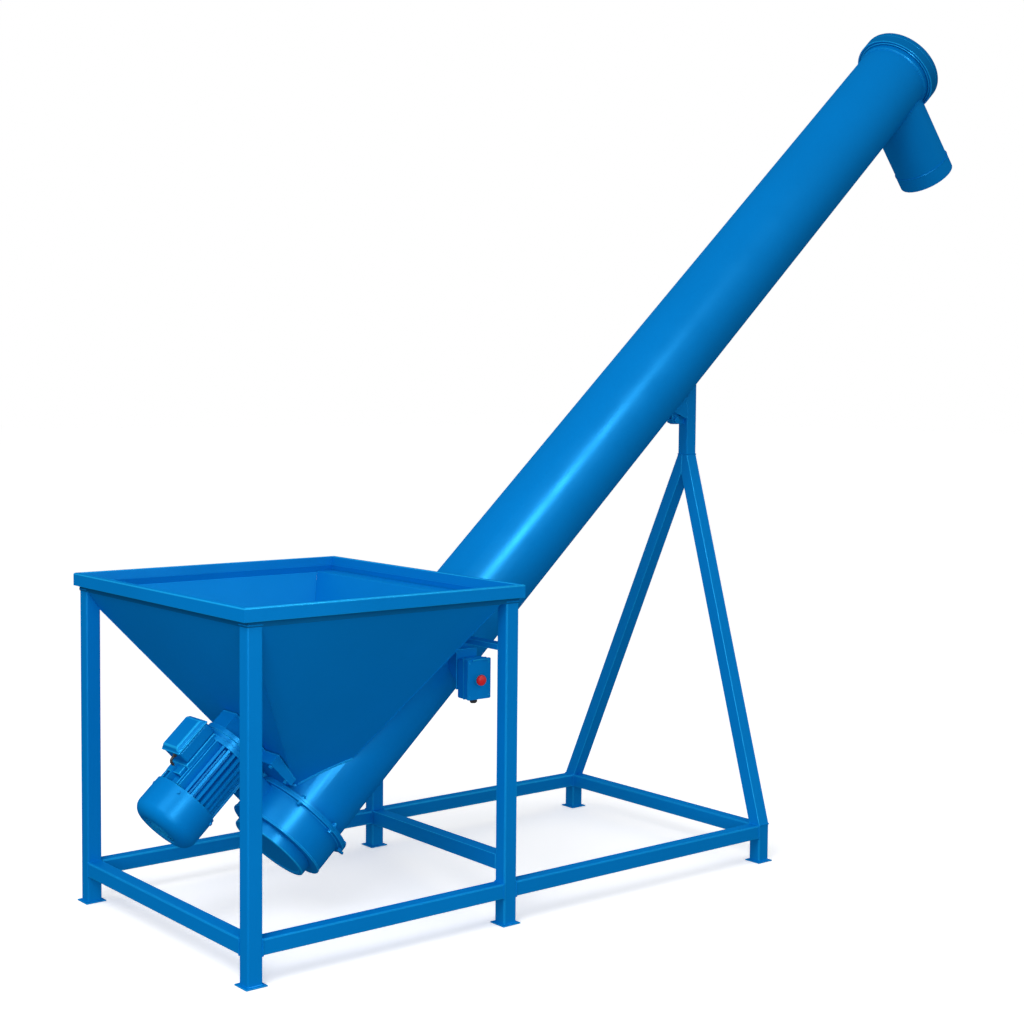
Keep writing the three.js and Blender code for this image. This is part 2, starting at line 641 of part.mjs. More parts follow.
// ---- screw ----
function flight() {
  const turns = (FLIGHT_S1 - FLIGHT_S0) / PITCH;
  const steps = Math.round(turns * 12);
  const t = 4;
  const pos = [];
  const index = [];
  for (let i = 0; i <= steps; i += 1) {
    const a = 2 * Math.PI * turns * i / steps;
    const s = FLIGHT_S0 + (FLIGHT_S1 - FLIGHT_S0) * i / steps;
    for (const [r, h] of [[SHAFT_R - 3, 0], [FLIGHT_R, 0], [FLIGHT_R, t], [SHAFT_R - 3, t]]) {
      pos.push(r * Math.cos(a), r * Math.sin(a), s + h);
    }
  }
  for (let i = 0; i < steps; i += 1) {
    for (let k = 0; k < 4; k += 1) {
      const a = 4 * i + k;
      const b = 4 * i + (k + 1) % 4;
      index.push(a, b, b + 4, a, b + 4, a + 4);
    }
  }
  const e = 4 * steps;
  index.push(0, 2, 1, 0, 3, 2, e, e + 1, e + 2, e, e + 2, e + 3);
  const g = new THREE.BufferGeometry();
  g.setAttribute('position', new THREE.BufferAttribute(Float32Array.from(pos), 3));
  g.setIndex(index);
  return solid(g);
}

function screw() {
  const shaft = turned([[0, CAP_S0 + 8], [JOURNAL_R, CAP_S0 + 8], [JOURNAL_R, 348], [SHAFT_R, 350],
    [SHAFT_R, S_TOP - 8], [JOURNAL_R, S_TOP - 6], [JOURNAL_R, S_TOP + 34], [0, S_TOP + 34]], 12);
  return onTube(join(shaft, flight()));
}

// ---- control box ----
function controlBody() {
  const y0 = BOX_Y + 3.2 + GAP;
  return cut(box(BOX_X0, BOX_X1, y0, y0 + 39, BOX_Z0, BOX_Z1),
    box(BOX_X0 + 3, BOX_X1 - 3, y0 - 1, y0 + 36, BOX_Z0 + 3, BOX_Z1 - 3));
}

function yRod(r, x, z, y0, y1, segments = 32) {
  const turn = new THREE.Matrix4().makeRotationX(Math.PI / 2);
  return shifted(transform(rod(r, -y1, -y0, segments), turn), x, 0, z);
}

const BUTTON_X = (BOX_X0 + BOX_X1) / 2;
const BUTTON_Z = 532;

function controlLid() {
  const plate = box(BOX_X0 - 1, BOX_X1 + 1, BOX_Y, BOX_Y + 3.2, BOX_Z0 - 1, BOX_Z1 + 1);
  const hood = box(BOX_X0 + 12, BOX_X1 - 6, BOX_Y - 4, BOX_Y + 1, BOX_Z1 - 3, BOX_Z1 + 1);
  return cut(join(plate, hood), yRod(5.8, BUTTON_X, BUTTON_Z, BOX_Y - 5, BOX_Y + 5));
}

function stopButton() {
  const turn = new THREE.Matrix4().makeRotationX(Math.PI / 2);
  const head = turned([[0, -10], [5.2, -10], [5.2, 4.5], [10.6, 4.5], [13, 7.5], [13, 11], [10.4, 14.5],
    [5, 16.4], [0, 16.8]], 20);
  return shifted(transform(head, turn), BUTTON_X, BOX_Y, BUTTON_Z);
}

function controlGland() {
  return shifted(join(turned([[0, 0], [10, 0], [10, 8.7], [0, 8.7]], 6), rod(6.5, -4, 1, 24)),
    BUTTON_X, BOX_Y + 22, BOX_Z0 - GAP - 8.7);
}

function controlBracket() {
  const y0 = BOX_Y + 3.2 + GAP + 39 + GAP;
  const back = box(BOX_X0 - 2, BOX_X1 - 8, y0, y0 + 3, BOX_Z0 + 20, BOX_Z1 + 20);
  const shelf = box(BOX_X0 - 2, BOX_X1 - 8, y0, -60, BOX_Z1 + 17, BOX_Z1 + 20);
  const web = prism([[y0, BOX_Z0 + 34], [-60, BOX_Z1 + 20], [y0, BOX_Z1 + 20]], 3);
  web.applyMatrix4(new THREE.Matrix4().makeBasis(new THREE.Vector3(0, 1, 0), new THREE.Vector3(0, 0, 1),
    new THREE.Vector3(1, 0, 0)).setPosition(BOX_X0 - 2, 0, 0));
  return largest(cut(join(back, shelf, solid(web)), tubeKeepOut));
}

// ---- assembly ----
const COLOURS = {
  blue_paint: 0x0a64b0,
  steel: 0x9aa0a4,
  black_plastic: 0x15171a,
  red_plastic: 0xd8201c,
  bronze: 0xa98a4c,
  machined: 0xb4b7ba,
};

const group = new THREE.Group();
group.name = 'grain_auger';

function add(name, body, colour = 'blue_paint') {
  const g = geometryOf(body);
  g.translate(-ORIGIN_X, 0, 0);
  const flat = g.toNonIndexed();
  flat.computeVertexNormals();
  const material = new THREE.MeshStandardMaterial({ color: COLOURS[colour], roughness: 0.5 });
  material.name = colour;
  const mesh = new THREE.Mesh(flat, material);
  mesh.name = name;
  group.add(mesh);
}

function addFrame() {
  const yN = -HALF_W;
  const yF = HALF_W - BAR;
  const x1 = BAR + GAP;
  add('near_low_post', hopperPost(0, true));
  add('far_low_post', hopperPost(0, false));
  add('near_middle_post', hopperPost(X_MID_NEAR, true));
  add('far_middle_post', post(X_MID_FAR, false));
  add('near_end_foot', post(X_END, true, RAIL_Z + BAR));
  add('far_end_foot', post(X_END, false, RAIL_Z + BAR));
  add('foot_plate_near_low', footPlate(0, true));
  add('foot_plate_far_low', footPlate(0, false));
  add('foot_plate_near_middle', footPlate(X_MID_NEAR, true));
  add('foot_plate_far_middle', footPlate(X_MID_FAR, false));
  add('foot_plate_near_end', footPlate(X_END, true));
  add('foot_plate_far_end', footPlate(X_END, false));
  add('low_end_rail', barY(yN + BAR + GAP, yF - GAP, 0, RAIL_Z));
  add('near_front_rail', barX(x1, X_MID_NEAR - GAP, yN, RAIL_Z));
  add('near_rear_rail', barX(X_MID_NEAR + x1, X_END - GAP, yN, RAIL_Z));
  add('far_front_rail', barX(x1, X_MID_FAR - GAP, yF, RAIL_Z));
  add('far_rear_rail', barX(X_MID_FAR + x1, X_END - GAP, yF, RAIL_Z));
  add('tail_end_rail', barY(yN + BAR + GAP, yF - GAP, X_END, RAIL_Z));
  add('cross_rail', crossRail());
  add('rim_outrigger', barX(X_MID_NEAR, X_MID_FAR - GAP, yF, POST_TOP - BAR));
  add('a_frame_leg_near', aLeg(-1));
  add('a_frame_leg_far', aLeg(1));
  add('a_frame_post', aPost());
  add('tube_cradle', cradle());
  add('pivot_bolt', pivotBolt(), 'steel');
  add('tube_brace', tubeBrace());
}

function addHopper() {
  add('hopper_rim', rimBand());
  add('hopper_wall_near', largest(hopperWall('near')));
  add('hopper_wall_far', largest(hopperWall('far')));
  add('hopper_wall_low', largest(hopperWall('low')));
  add('hopper_wall_high', highWall());
}

function addTube() {
  add('auger_tube', augerTube());
  add('gear_drum', drumHousing());
  add('drum_end_cap', endCap());
  add('lower_bearing', bearing(CAP_S0 + 9), 'steel');
  add('top_flange', topFlange());
  add('top_cover', topCover());
  add('upper_bearing', bearing(S_TOP + 13), 'steel');
  add('discharge_spout', spout());
  add('auger_screw', screw(), 'machined');
}

function addDrive() {
  add('drive_casing', casing());
  add('casing_cover', casingCover());
  add('motor_flange', motorFlange());
  add('motor_stator', stator());
  add('motor_cowl', cowl());
  add('motor_shaft', motorShaft(), 'machined');
  add('motor_fan', motorFan(), 'black_plastic');
  add('motor_pinion', motorPinion(), 'machined');
  add('idler_gear', idlerGear(), 'bronze');
  add('lay_gear', layGear(), 'machined');
  add('lay_shaft', layShaft(), 'machined');
  add('output_wheel', outputWheel(), 'machined');
  add('terminal_box', terminalBox());
  add('terminal_lid', terminalLid());
  add('terminal_gland', terminalGland(), 'black_plastic');
}

function addControls() {
  add('control_box', controlBody());
  add('control_lid', controlLid());
  add('stop_button', stopButton(), 'red_plastic');
  add('control_gland', controlGland(), 'black_plastic');
  add('control_bracket', controlBracket());
}

addFrame();
addHopper();
addTube();
addDrive();
addControls();

export default group;
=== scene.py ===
"""Looks of the grain auger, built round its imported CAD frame. Metres, +Z up.

Local tube coordinates, used for everything turned or bolted on the auger: X away from the floor,
Y towards the near side, Z along the tube, from the point where the tube's axis meets the floor.
"""
import json
from math import copysign, cos, hypot, pi, radians, sin, sqrt, tan

import bmesh
import bpy
from mathutils import Matrix, Vector, noise


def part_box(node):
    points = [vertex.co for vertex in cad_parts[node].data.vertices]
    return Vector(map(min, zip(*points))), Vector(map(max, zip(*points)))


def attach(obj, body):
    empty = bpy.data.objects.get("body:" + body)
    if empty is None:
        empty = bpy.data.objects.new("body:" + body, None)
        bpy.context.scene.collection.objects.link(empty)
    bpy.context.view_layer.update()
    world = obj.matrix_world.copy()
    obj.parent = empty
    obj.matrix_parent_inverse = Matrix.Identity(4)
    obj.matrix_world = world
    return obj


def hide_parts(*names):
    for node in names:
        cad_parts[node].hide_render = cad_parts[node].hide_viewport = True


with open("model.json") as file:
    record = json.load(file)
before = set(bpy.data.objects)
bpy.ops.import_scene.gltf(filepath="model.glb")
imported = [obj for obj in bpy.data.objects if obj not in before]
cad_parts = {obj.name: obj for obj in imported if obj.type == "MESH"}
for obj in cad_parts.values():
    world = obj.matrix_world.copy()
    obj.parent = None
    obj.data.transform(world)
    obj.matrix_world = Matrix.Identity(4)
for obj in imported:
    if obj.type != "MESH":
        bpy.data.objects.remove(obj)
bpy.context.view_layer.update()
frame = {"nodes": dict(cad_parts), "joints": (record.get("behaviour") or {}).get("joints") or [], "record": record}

NODES = frame["nodes"]
JOINTS = {joint["name"]: joint for joint in frame["joints"]}
MM = 0.001

# ---- driving sizes, millimetres along and round the tube
BAR = 35                     # square tube of the stand
TUBE_RADIUS = 109.55
FLANGE_RADIUS = 137
DRUM_RADIUS = 122
CAP_RADIUS = 98
COVER_RADIUS = 127
COWL_RADIUS = 78.6
FIN_RADIUS = 74
SPOUT_RADIUS = 84.15
SPOUT_SLEEVE = 45
FLIGHT_RADIUS = 98
FLIGHT_THICKNESS = 4
SHAFT_RADIUS = 24
JOURNAL_RADIUS = 17.5
FLIGHT_PITCH = 220
FLIGHT_START = 356           # where the flighting begins, along the tube
TOP_JOURNAL = 34
BARE_SHAFT = 94.7            # without flighting, at the spout
SHAFT_HOLE = JOURNAL_RADIUS + 0.8
BEARING_SEAT = 36.3
MOTOR_BORE = 12.6
LID_DEPTH = 0.0035           # metres, lid's front before the control box
PAINTED_HIGHLIGHT_WIDTH = 1.7             # faces narrower than this get the lighter enamel as a painted highlight
SQUARE = ((0, 0), (1, 0), (1, 1), (0, 1))


# ---- frames of reference
SCREW_AXIS = JOINTS["screw_spin"]
ALONG = Vector(SCREW_AXIS["axis"]).normalized()
SIDE = Vector((0, -1, 0))
LENGTHWISE = Vector((1, 0, 0))
UP = Vector((0, 0, 1))
AWAY = SIDE.cross(ALONG)
ON_AXIS = Vector(SCREW_AXIS["pos_m"])
FOOT = ON_AXIS - ALONG * (ON_AXIS.z / ALONG.z)


def placed(origin, x=AWAY, y=SIDE, z=ALONG):
    matrix = Matrix((x, y, z)).transposed().to_4x4()
    matrix.translation = origin
    return matrix


def facing_near(origin):
    """Frame whose Z points to the near side, with X along the machine and Y up."""
    return placed(origin, LENGTHWISE, UP, SIDE)


def shifted(matrix, x, y, z):
    """The frame moved by its own millimetres."""
    return matrix @ Matrix.Translation(Vector((x, y, z)) * MM)


TUBE = placed(FOOT)
MOTOR = placed(FOOT + AWAY * (Vector(JOINTS["rotor_spin"]["pos_m"]) - FOOT).dot(AWAY))


def local_points(node, matrix=TUBE):
    """A CAD node's vertices in the coordinates of matrix, metres."""
    inverse = matrix.inverted()
    return [inverse @ v.co for v in NODES[node].data.vertices]


def extent(points):
    """Lowest and highest corner of the box round some points, as lists."""
    return tuple([pick(p[i] for p in points) for i in range(3)] for pick in (min, max))


def along_range(node, matrix=TUBE):
    """How far a CAD node reaches along the local Z of matrix, in millimetres."""
    heights = [p.z / MM for p in local_points(node, matrix)]
    return min(heights), max(heights)


TUBE_LOW, TUBE_TOP = along_range("auger_tube")
DRUM_LOW, DRUM_TOP = along_range("gear_drum")
CAP_LOW, CAP_TOP = along_range("drum_end_cap")
COVER_LOW, COVER_TOP = along_range("top_cover")
RING_LOW, RING_TOP = along_range("top_flange")
STATOR_LOW, STATOR_TOP = along_range("motor_stator")
COWL_LOW, COWL_TOP = along_range("motor_cowl")
FACE_LOW, FACE_TOP = along_range("motor_flange")


# ---- materials
class Tree:
    """A node tree, with short calls for what the materials and the sky share."""

    def __init__(self, owner):
        owner.use_nodes = True
        self.tree = owner.node_tree
        self.tree.nodes.clear()

    def add(self, kind, **values):
        node = self.tree.nodes.new(kind)
        for key, value in values.items():
            if key in node.inputs:
                node.inputs[key].default_value = value
            else:
                setattr(node, key, value)
        return node

    def link(self, source, target):
        self.tree.links.new(source, target)

    def ramp(self, source, stops):
        node = self.add("ShaderNodeValToRGB")
        elements = node.color_ramp.elements
        while len(elements) < len(stops):
            elements.new(0.5)
        for element, (position, colour) in zip(elements, stops):
            element.position = position
            element.color = (*colour, 1)
        self.link(source, node.inputs[0])
        return node.outputs[0]

    def span(self, source, low, high, start=0.0, end=1.0):
        """Maps start..end of the source to low..high."""
        node = self.add("ShaderNodeMapRange")
        for index, value in zip((1, 2, 3, 4), (start, end, low, high)):
            node.inputs[index].default_value = value
        self.link(source, node.inputs[0])
        return node.outputs[0]

    def mix_shader(self, factor, first, second):
        node = self.add("ShaderNodeMixShader")
        for source, socket in zip((factor, first, second), node.inputs):
            self.link(source, socket)
        return node.outputs[0]


class Shader(Tree):
    """A material of one Principled surface, with object coordinates."""

    def __init__(self, name):
        self.material = bpy.data.materials.new(name)
        super().__init__(self.material)
        self.output = self.add("ShaderNodeOutputMaterial")
        self.surface = self.add("ShaderNodeBsdfPrincipled")
        self.link(self.surface.outputs[0], self.output.inputs[0])
        self.place = self.add("ShaderNodeTexCoord").outputs["Object"]
        self.sheen = None

    def set(self, **values):
        for key, value in values.items():
            self.surface.inputs[key.replace("_", " ")].default_value = value

    def feed(self, socket, source):
        self.link(source, self.surface.inputs[socket])

    def noise(self, scale, detail=3.0, roughness=0.5, place=None):
        node = self.add("ShaderNodeTexNoise", Scale=scale, Detail=detail, Roughness=roughness)
        self.link(place or self.place, node.inputs["Vector"])
        return node.outputs[0]

    def fade(self, factor, source, colour):
        """Turns a source's colour towards a plain one."""
        node = self.add("ShaderNodeMix", data_type="RGBA")
        self.link(factor, node.inputs[0])
        self.link(source, node.inputs[6])
        node.inputs[7].default_value = (*colour, 1)
        return node.outputs[2]

    def bump(self, *layers):
        """Each layer is (height source, strength, depth in metres)."""
        normal = None
        for source, strength, depth in layers:
            node = self.add("ShaderNodeBump", Strength=strength, Distance=depth)
            self.link(source, node.inputs["Height"])
            if normal is not None:
                self.link(normal, node.inputs["Normal"])
            normal = node.outputs[0]
        self.feed("Normal", normal)
        if self.sheen:
            self.link(normal, self.sheen.inputs["Normal"])

    def tinted_gloss(self, colour, roughness):
        """Coloured sheen over the surface, stronger at a glancing angle."""
        self.sheen = self.add("ShaderNodeBsdfGlossy", Color=(*colour, 1))
        self.link(roughness, self.sheen.inputs["Roughness"])
        glance = self.span(self.add("ShaderNodeFresnel", IOR=1.5).outputs[0], 0.06, 0.09, 0.04, 0.55)
        both = self.mix_shader(glance, self.surface.outputs[0], self.sheen.outputs[0])
        self.link(both, self.output.inputs[0])


def scaled(colour, factor):
    return tuple(channel * factor for channel in colour)


PAINT = (0.0, 0.194, 0.590)


def enamel(name, tone=1.0, roughness=0.36, peel=0.10, cast=0.0, paint=PAINT):
    """Sprayed satin enamel: cloudy tone, darker streaks, orange peel, and grain where it is cast."""
    shader = Shader(name)
    base = scaled(paint, tone)
    cloud = shader.noise(2.6, 4)
    colour = shader.ramp(cloud, ((0.30, scaled(base, 0.955)), (0.70, scaled(base, 1.03))))
    streak = shader.noise(38, 5, 0.6)
    colour = shader.fade(shader.span(streak, 0.0, 0.10, 0.52, 0.8), colour, scaled(base, 0.82))
    shader.feed("Base Color", colour)
    gloss = shader.span(shader.noise(9, 4), roughness - 0.05, roughness + 0.06, 0.3, 0.7)
    shader.set(Specular_IOR_Level=0.0, Roughness=0.6)
    shader.tinted_gloss((0.045, 0.50, 1.0), gloss)
    layers = [(shader.noise(260, 2), peel, 0.0006), (shader.noise(45, 3), peel * 0.5, 0.0009)]
    if cast:
        layers.append((shader.noise(620, 3, 0.7), cast, 0.0007))
    shader.bump(*layers)
    return shader.material


def metal(name, colour, roughness, grain=900.0):
    """Turned or rolled metal with fine tool marks and faint oil stains."""
    shader = Shader(name)
    stain = shader.noise(24, 5, 0.6)
    tint = shader.ramp(stain, ((0.35, scaled(colour, 0.72)), (0.65, colour)))
    shader.feed("Base Color", tint)
    shader.feed("Roughness", shader.span(shader.noise(60, 4), roughness - 0.07, roughness + 0.1, 0.3, 0.7))
    shader.set(Metallic=1.0)
    stretched = shader.add("ShaderNodeMapping")
    stretched.inputs["Scale"].default_value = (1, 1, 0.06)
    shader.link(shader.place, stretched.inputs["Vector"])
    shader.bump((shader.noise(grain, 2, place=stretched.outputs[0]), 0.16, 0.0003))
    return shader.material


def plastic(name, colour, roughness, worn, pores=700.0):
    """Moulded plastic with a fine spark texture and paler rubbed edges."""
    shader = Shader(name)
    cloud = shader.ramp(shader.noise(55, 4), ((0.3, scaled(colour, 0.86)), (0.7, colour)))
    pointiness = shader.add("ShaderNodeNewGeometry").outputs["Pointiness"]
    edge = shader.span(pointiness, 0.0, 0.6, 0.53, 0.66)
    shader.feed("Base Color", shader.fade(edge, cloud, worn))
    shader.feed("Roughness", shader.span(shader.noise(120), roughness - 0.05, roughness + 0.08, 0.3, 0.7))
    shader.set(Specular_IOR_Level=0.5)
    shader.bump((shader.noise(pores, 3), 0.14, 0.0003))
    return shader.material


ENAMEL = enamel("sky_blue_enamel", roughness=0.34)
# Painted highlight: a lighter copy of the enamel for narrow rounding and bevel faces and the tube fillet weld,
# standing in for bright edge highlights
PAINTED_HIGHLIGHT_ENAMEL = enamel("sky_blue_painted_highlight", roughness=0.27, paint=(0.008, 0.34, 0.76))
WELD_ENAMEL = enamel("sky_blue_weld", roughness=0.33, peel=0.16)
CAST_ENAMEL = enamel("sky_blue_cast", roughness=0.33, cast=0.10)
# Painted light: a slightly lighter copy of the enamel for the hopper walls, also rougher with less peel
HOPPER_PAINTED_LIGHT_ENAMEL = enamel("sky_blue_sheet_painted_light", tone=1.04, roughness=0.42, peel=0.07)
# Painted shade: a much darker copy of the enamel for the rim strip that lies in the apron's shadow
PAINTED_SHADE_ENAMEL = enamel("sky_blue_painted_shade", tone=0.42, roughness=0.42)
# Painted shade: a darker copy of the enamel for the tube's top ring and cover
DISC_PAINTED_SHADE_ENAMEL = enamel("sky_blue_disc_painted_shade", tone=0.70)
# Painted light: a lighter copy of the enamel for the control box and its lid, which sit in shade
BOX_PAINTED_LIGHT_ENAMEL = enamel("sky_blue_box_painted_light", tone=1.18)
MACHINED = metal("machined_steel", (0.56, 0.56, 0.57), 0.34)
FLIGHT_STEEL = metal("flighting_steel", (0.50, 0.49, 0.47), 0.40, grain=500.0)
ZINC = metal("zinc_plate", (0.63, 0.65, 0.67), 0.30)
BRONZE = metal("gear_bronze", (0.62, 0.41, 0.17), 0.34)
BLACK = plastic("black_polyamide", (0.016, 0.016, 0.018), 0.46, (0.05, 0.05, 0.05))
RED = plastic("signal_red", (0.90, 0.006, 0.014), 0.32, (0.92, 0.03, 0.04))


# ---- mesh tools
def rounded(outline, steps=4):
    """Outline of (x, y, radius) corners with each corner turned into an arc."""
    points = []
    for index, (x, y, radius) in enumerate(outline):
        corner = Vector((x, y))
        before = Vector(outline[index - 1][:2]) - corner
        after = Vector(outline[(index + 1) % len(outline)][:2]) - corner
        half = before.angle(after) / 2
        bisector = before.normalized() + after.normalized()
        straight = bisector.length < 1e-3
        if radius <= 0 or straight:
            points.append(corner)
            continue
        reach = min(radius / tan(half), before.length * 0.48, after.length * 0.48)
        centre = corner + bisector.normalized() * (reach / cos(half))
        first = corner + before.normalized() * reach - centre
        last = corner + after.normalized() * reach - centre
        sweep = first.angle(last)
        for k in range(steps + 1):
            t = k / steps
            spoke = first * sin((1 - t) * sweep) + last * sin(t * sweep)
            points.append(centre + spoke / sin(sweep))
    return points


def settle(verts, matrix, scale=MM):
    """Moves fresh vertices from local millimetres into the part's frame."""
    for vert in verts:
        vert.co = matrix @ (vert.co * scale)


def circle(count):
    """Angles of count points evenly round a circle."""
    return [2 * pi * k / count for k in range(count)]


def polar(radius, angle, height=0):
    return Vector((radius * cos(angle), radius * sin(angle), height))


def round_outline(x, y, radius, count):
    return [(x + radius * cos(a), y + radius * sin(a)) for a in circle(count)]


def skin(bm, rings, ends=True):
    """Faces along a run of equal rings, and over its two ends."""
    for low, high in zip(rings, rings[1:]):
        for k in range(len(low)):
            j = (k + 1) % len(low)
            bm.faces.new((low[k], low[j], high[j], high[k]))
    if ends:
        bm.faces.new(rings[0][::-1])
        bm.faces.new(rings[-1])


def wrap(bm, rings):
    """Faces round a closed loop of rings; a ring of one vertex is a point."""
    for ring, after in zip(rings, rings[1:] + rings[:1]):
        count = max(len(ring), len(after))
        for k in range(count if count > 1 else 0):
            j = (k + 1) % count
            if len(ring) == 1:
                bm.faces.new((ring[0], after[k], after[j]))
            elif len(after) == 1:
                bm.faces.new((ring[k], after[0], ring[j]))
            else:
                bm.faces.new((ring[k], after[k], after[j], ring[j]))


def lathe(bm, outline, matrix=TUBE, segments=96, steps=4):
    """Closed outline of (radius, height, corner radius) turned about the local Z of matrix."""
    rings = []
    for r, z in rounded(outline, steps):
        if r < 1e-6:
            rings.append([bm.verts.new((0, 0, z))])
        else:
            rings.append([bm.verts.new(polar(r, a, z)) for a in circle(segments)])
    wrap(bm, rings)
    settle({vert for ring in rings for vert in ring}, matrix)


def prism(bm, outline, z0, z1, matrix, edge):
    """Outline of (x, y) points extruded along the local Z of matrix, its end edges chamfered."""
    middle = sum((Vector(p) for p in outline), Vector((0, 0))) / len(outline)
    reach = max((Vector(p) - middle).length for p in outline)
    shrink = 1 - edge / reach
    rings = []
    for z, k in ((z0, shrink), (z0 + edge, 1), (z1 - edge, 1), (z1, shrink)):
        rings.append([bm.verts.new((*(middle + (Vector(p) - middle) * k), z)) for p in outline])
    skin(bm, rings)
    settle([vert for ring in rings for vert in ring], matrix)


def block(bm, low, high, radius, matrix=Matrix.Identity(4), segments=3, scale=MM, inset=0.0):
    """Box between two corners with rounded edges; inset leans its sides in towards the high X face."""
    made = bmesh.ops.create_cube(bm, size=1.0)["verts"]
    low, high = Vector(low), Vector(high)
    for vert in made:
        spot = (low + high) / 2 + Vector(c * d for c, d in zip(vert.co, high - low))
        if vert.co.x > 0:
            spot.y -= copysign(inset, vert.co.y)
            spot.z -= copysign(inset, vert.co.z)
        vert.co = spot
    edges = dict.fromkeys(edge for vert in made for edge in vert.link_edges)
    result = bmesh.ops.bevel(bm, geom=list(edges), offset=radius, segments=segments, profile=0.5,
                             affect="EDGES", clamp_overlap=True)
    settle({vert for vert in made if vert.is_valid} | set(result["verts"]), matrix, scale)


def tube_along(bm, path, radius, sides, swell, closed=False):
    """Round section swept along a path; swell(i) scales the section at each point."""
    count = len(path)
    rings = []
    axis = None
    for i, point in enumerate(path):
        ahead = path[(i + 1) % count] if closed or i + 1 < count else point
        behind = path[i - 1] if closed or i else point
        tangent = (ahead - behind).normalized()
        if axis is None:
            axis = tangent.orthogonal().normalized()
        axis = (axis - tangent * axis.dot(tangent)).normalized()
        other = tangent.cross(axis)
        r = radius * swell(i)
        rings.append([bm.verts.new(point + axis * r * cos(a) + other * r * sin(a)) for a in circle(sides)])
    skin(bm, rings, ends=not closed)
    if closed:
        join_rings(bm, rings[-1], rings[0])


def join_rings(bm, last, first):
    """Closes a swept loop, turning the first ring to the closest match of the last."""
    sides = len(last)
    shift = min(range(sides), key=lambda s: sum((last[k].co - first[(k + s) % sides].co).length
                                                for k in range(sides)))
    for k in range(sides):
        a, b = (k + shift) % sides, (k + 1 + shift) % sides
        bm.faces.new((last[k], last[(k + 1) % sides], first[b], first[a]))


def resampled(path, step, closed=False):
    """Points every step along a broken line."""
    corners = [Vector(p) for p in path] + ([Vector(path[0])] if closed else [])
    lengths = [(b - a).length for a, b in zip(corners, corners[1:])]
    total = sum(lengths)
    count = max(3, round(total / step))
    points = []
    leg, used = 0, 0.0
    for i in range(count if closed else count + 1):
        goal = total * i / count
        while leg < len(lengths) - 1 and goal > used + lengths[leg]:
            used += lengths[leg]
            leg += 1
        t = (goal - used) / lengths[leg] if lengths[leg] else 0
        points.append(corners[leg].lerp(corners[leg + 1], min(max(t, 0), 1)))
    return points


def weld(bm, path, radius, closed=False, sides=6):
    """Hand-laid weld bead: overlapping scallops of slightly uneven width. Radius in millimetres."""
    size = radius * MM
    points = resampled(path, size * 0.62, closed)
    seed = Vector((path[0][0] * 7, path[0][1] * 5, path[0][2] * 3))
    wobble = [noise.noise(seed + Vector((i * 0.21, 0, 0))) for i in range(len(points))]

    def swell(i):
        return 1 + 0.12 * sin(i * 2.1) + 0.22 * wobble[i]

    tube_along(bm, points, size, sides, swell, closed)


def hex_fastener(bm, matrix, flats, head, washer=0.0, stub=0.0):
    """Hexagon head or nut standing on a washer, with the bolt's end above it."""
    base = 0.0
    if washer:
        lathe(bm, [(0, 0, 0), (washer, 0, 0.2), (washer, 1.5, 0.4), (0, 1.5, 0)], matrix, 24, 2)
        base = 1.5
    corner = flats / sqrt(3)
    prism(bm, round_outline(0, 0, corner, 6), base, base + head, matrix, edge=head * 0.14)
    if stub:
        r = flats * 0.30
        lathe(bm, [(0, base, 0), (r, base, 0), (r, base + head + stub, 0.6), (0, base + head + stub, 0)],
              matrix, 16, 2)


def add_object(name, data):
    obj = bpy.data.objects.new(name, data)
    bpy.context.scene.collection.objects.link(obj)
    return obj


def even_faces(obj):
    """Shades the large faces flat and leaves the curve to the small ones between them."""
    even = obj.modifiers.new("even_faces", "WEIGHTED_NORMAL")
    even.weight = 60
    even.keep_sharp = True


def piece(name, bm, material, body="frame", stands_for=(), sharp=38):
    """Finishes a mesh as one visible piece that rides on a CAD body; its narrow faces get the lighter enamel as a
    painted highlight.
    """
    bmesh.ops.remove_doubles(bm, verts=bm.verts, dist=1e-6)
    bmesh.ops.recalc_face_normals(bm, faces=bm.faces)
    mesh = bpy.data.meshes.new(name)
    bm.to_mesh(mesh)
    bm.free()
    mesh.materials.append(material)
    # Painted highlight: faces narrower than the width above, on blue pieces other than welds, take the lighter
    # enamel
    if material.name.startswith("sky_blue"):
        mesh.materials.append(PAINTED_HIGHLIGHT_ENAMEL)
        for face in mesh.polygons:
            corners = [mesh.vertices[i].co for i in face.vertices]
            sides = [(a - b).length for a, b in zip(corners, corners[1:] + corners[:1])]
            edge = len(corners) == 4 and face.area / max(sides) < PAINTED_HIGHLIGHT_WIDTH * MM
            face.material_index = int(edge and material is not WELD_ENAMEL)
    mesh.polygons.foreach_set("use_smooth", [True] * len(mesh.polygons))
    mesh.set_sharp_from_angle(angle=radians(sharp))
    obj = add_object(name, mesh)
    even_faces(obj)
    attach(obj, body)
    if stands_for:
        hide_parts(*stands_for)
    return obj


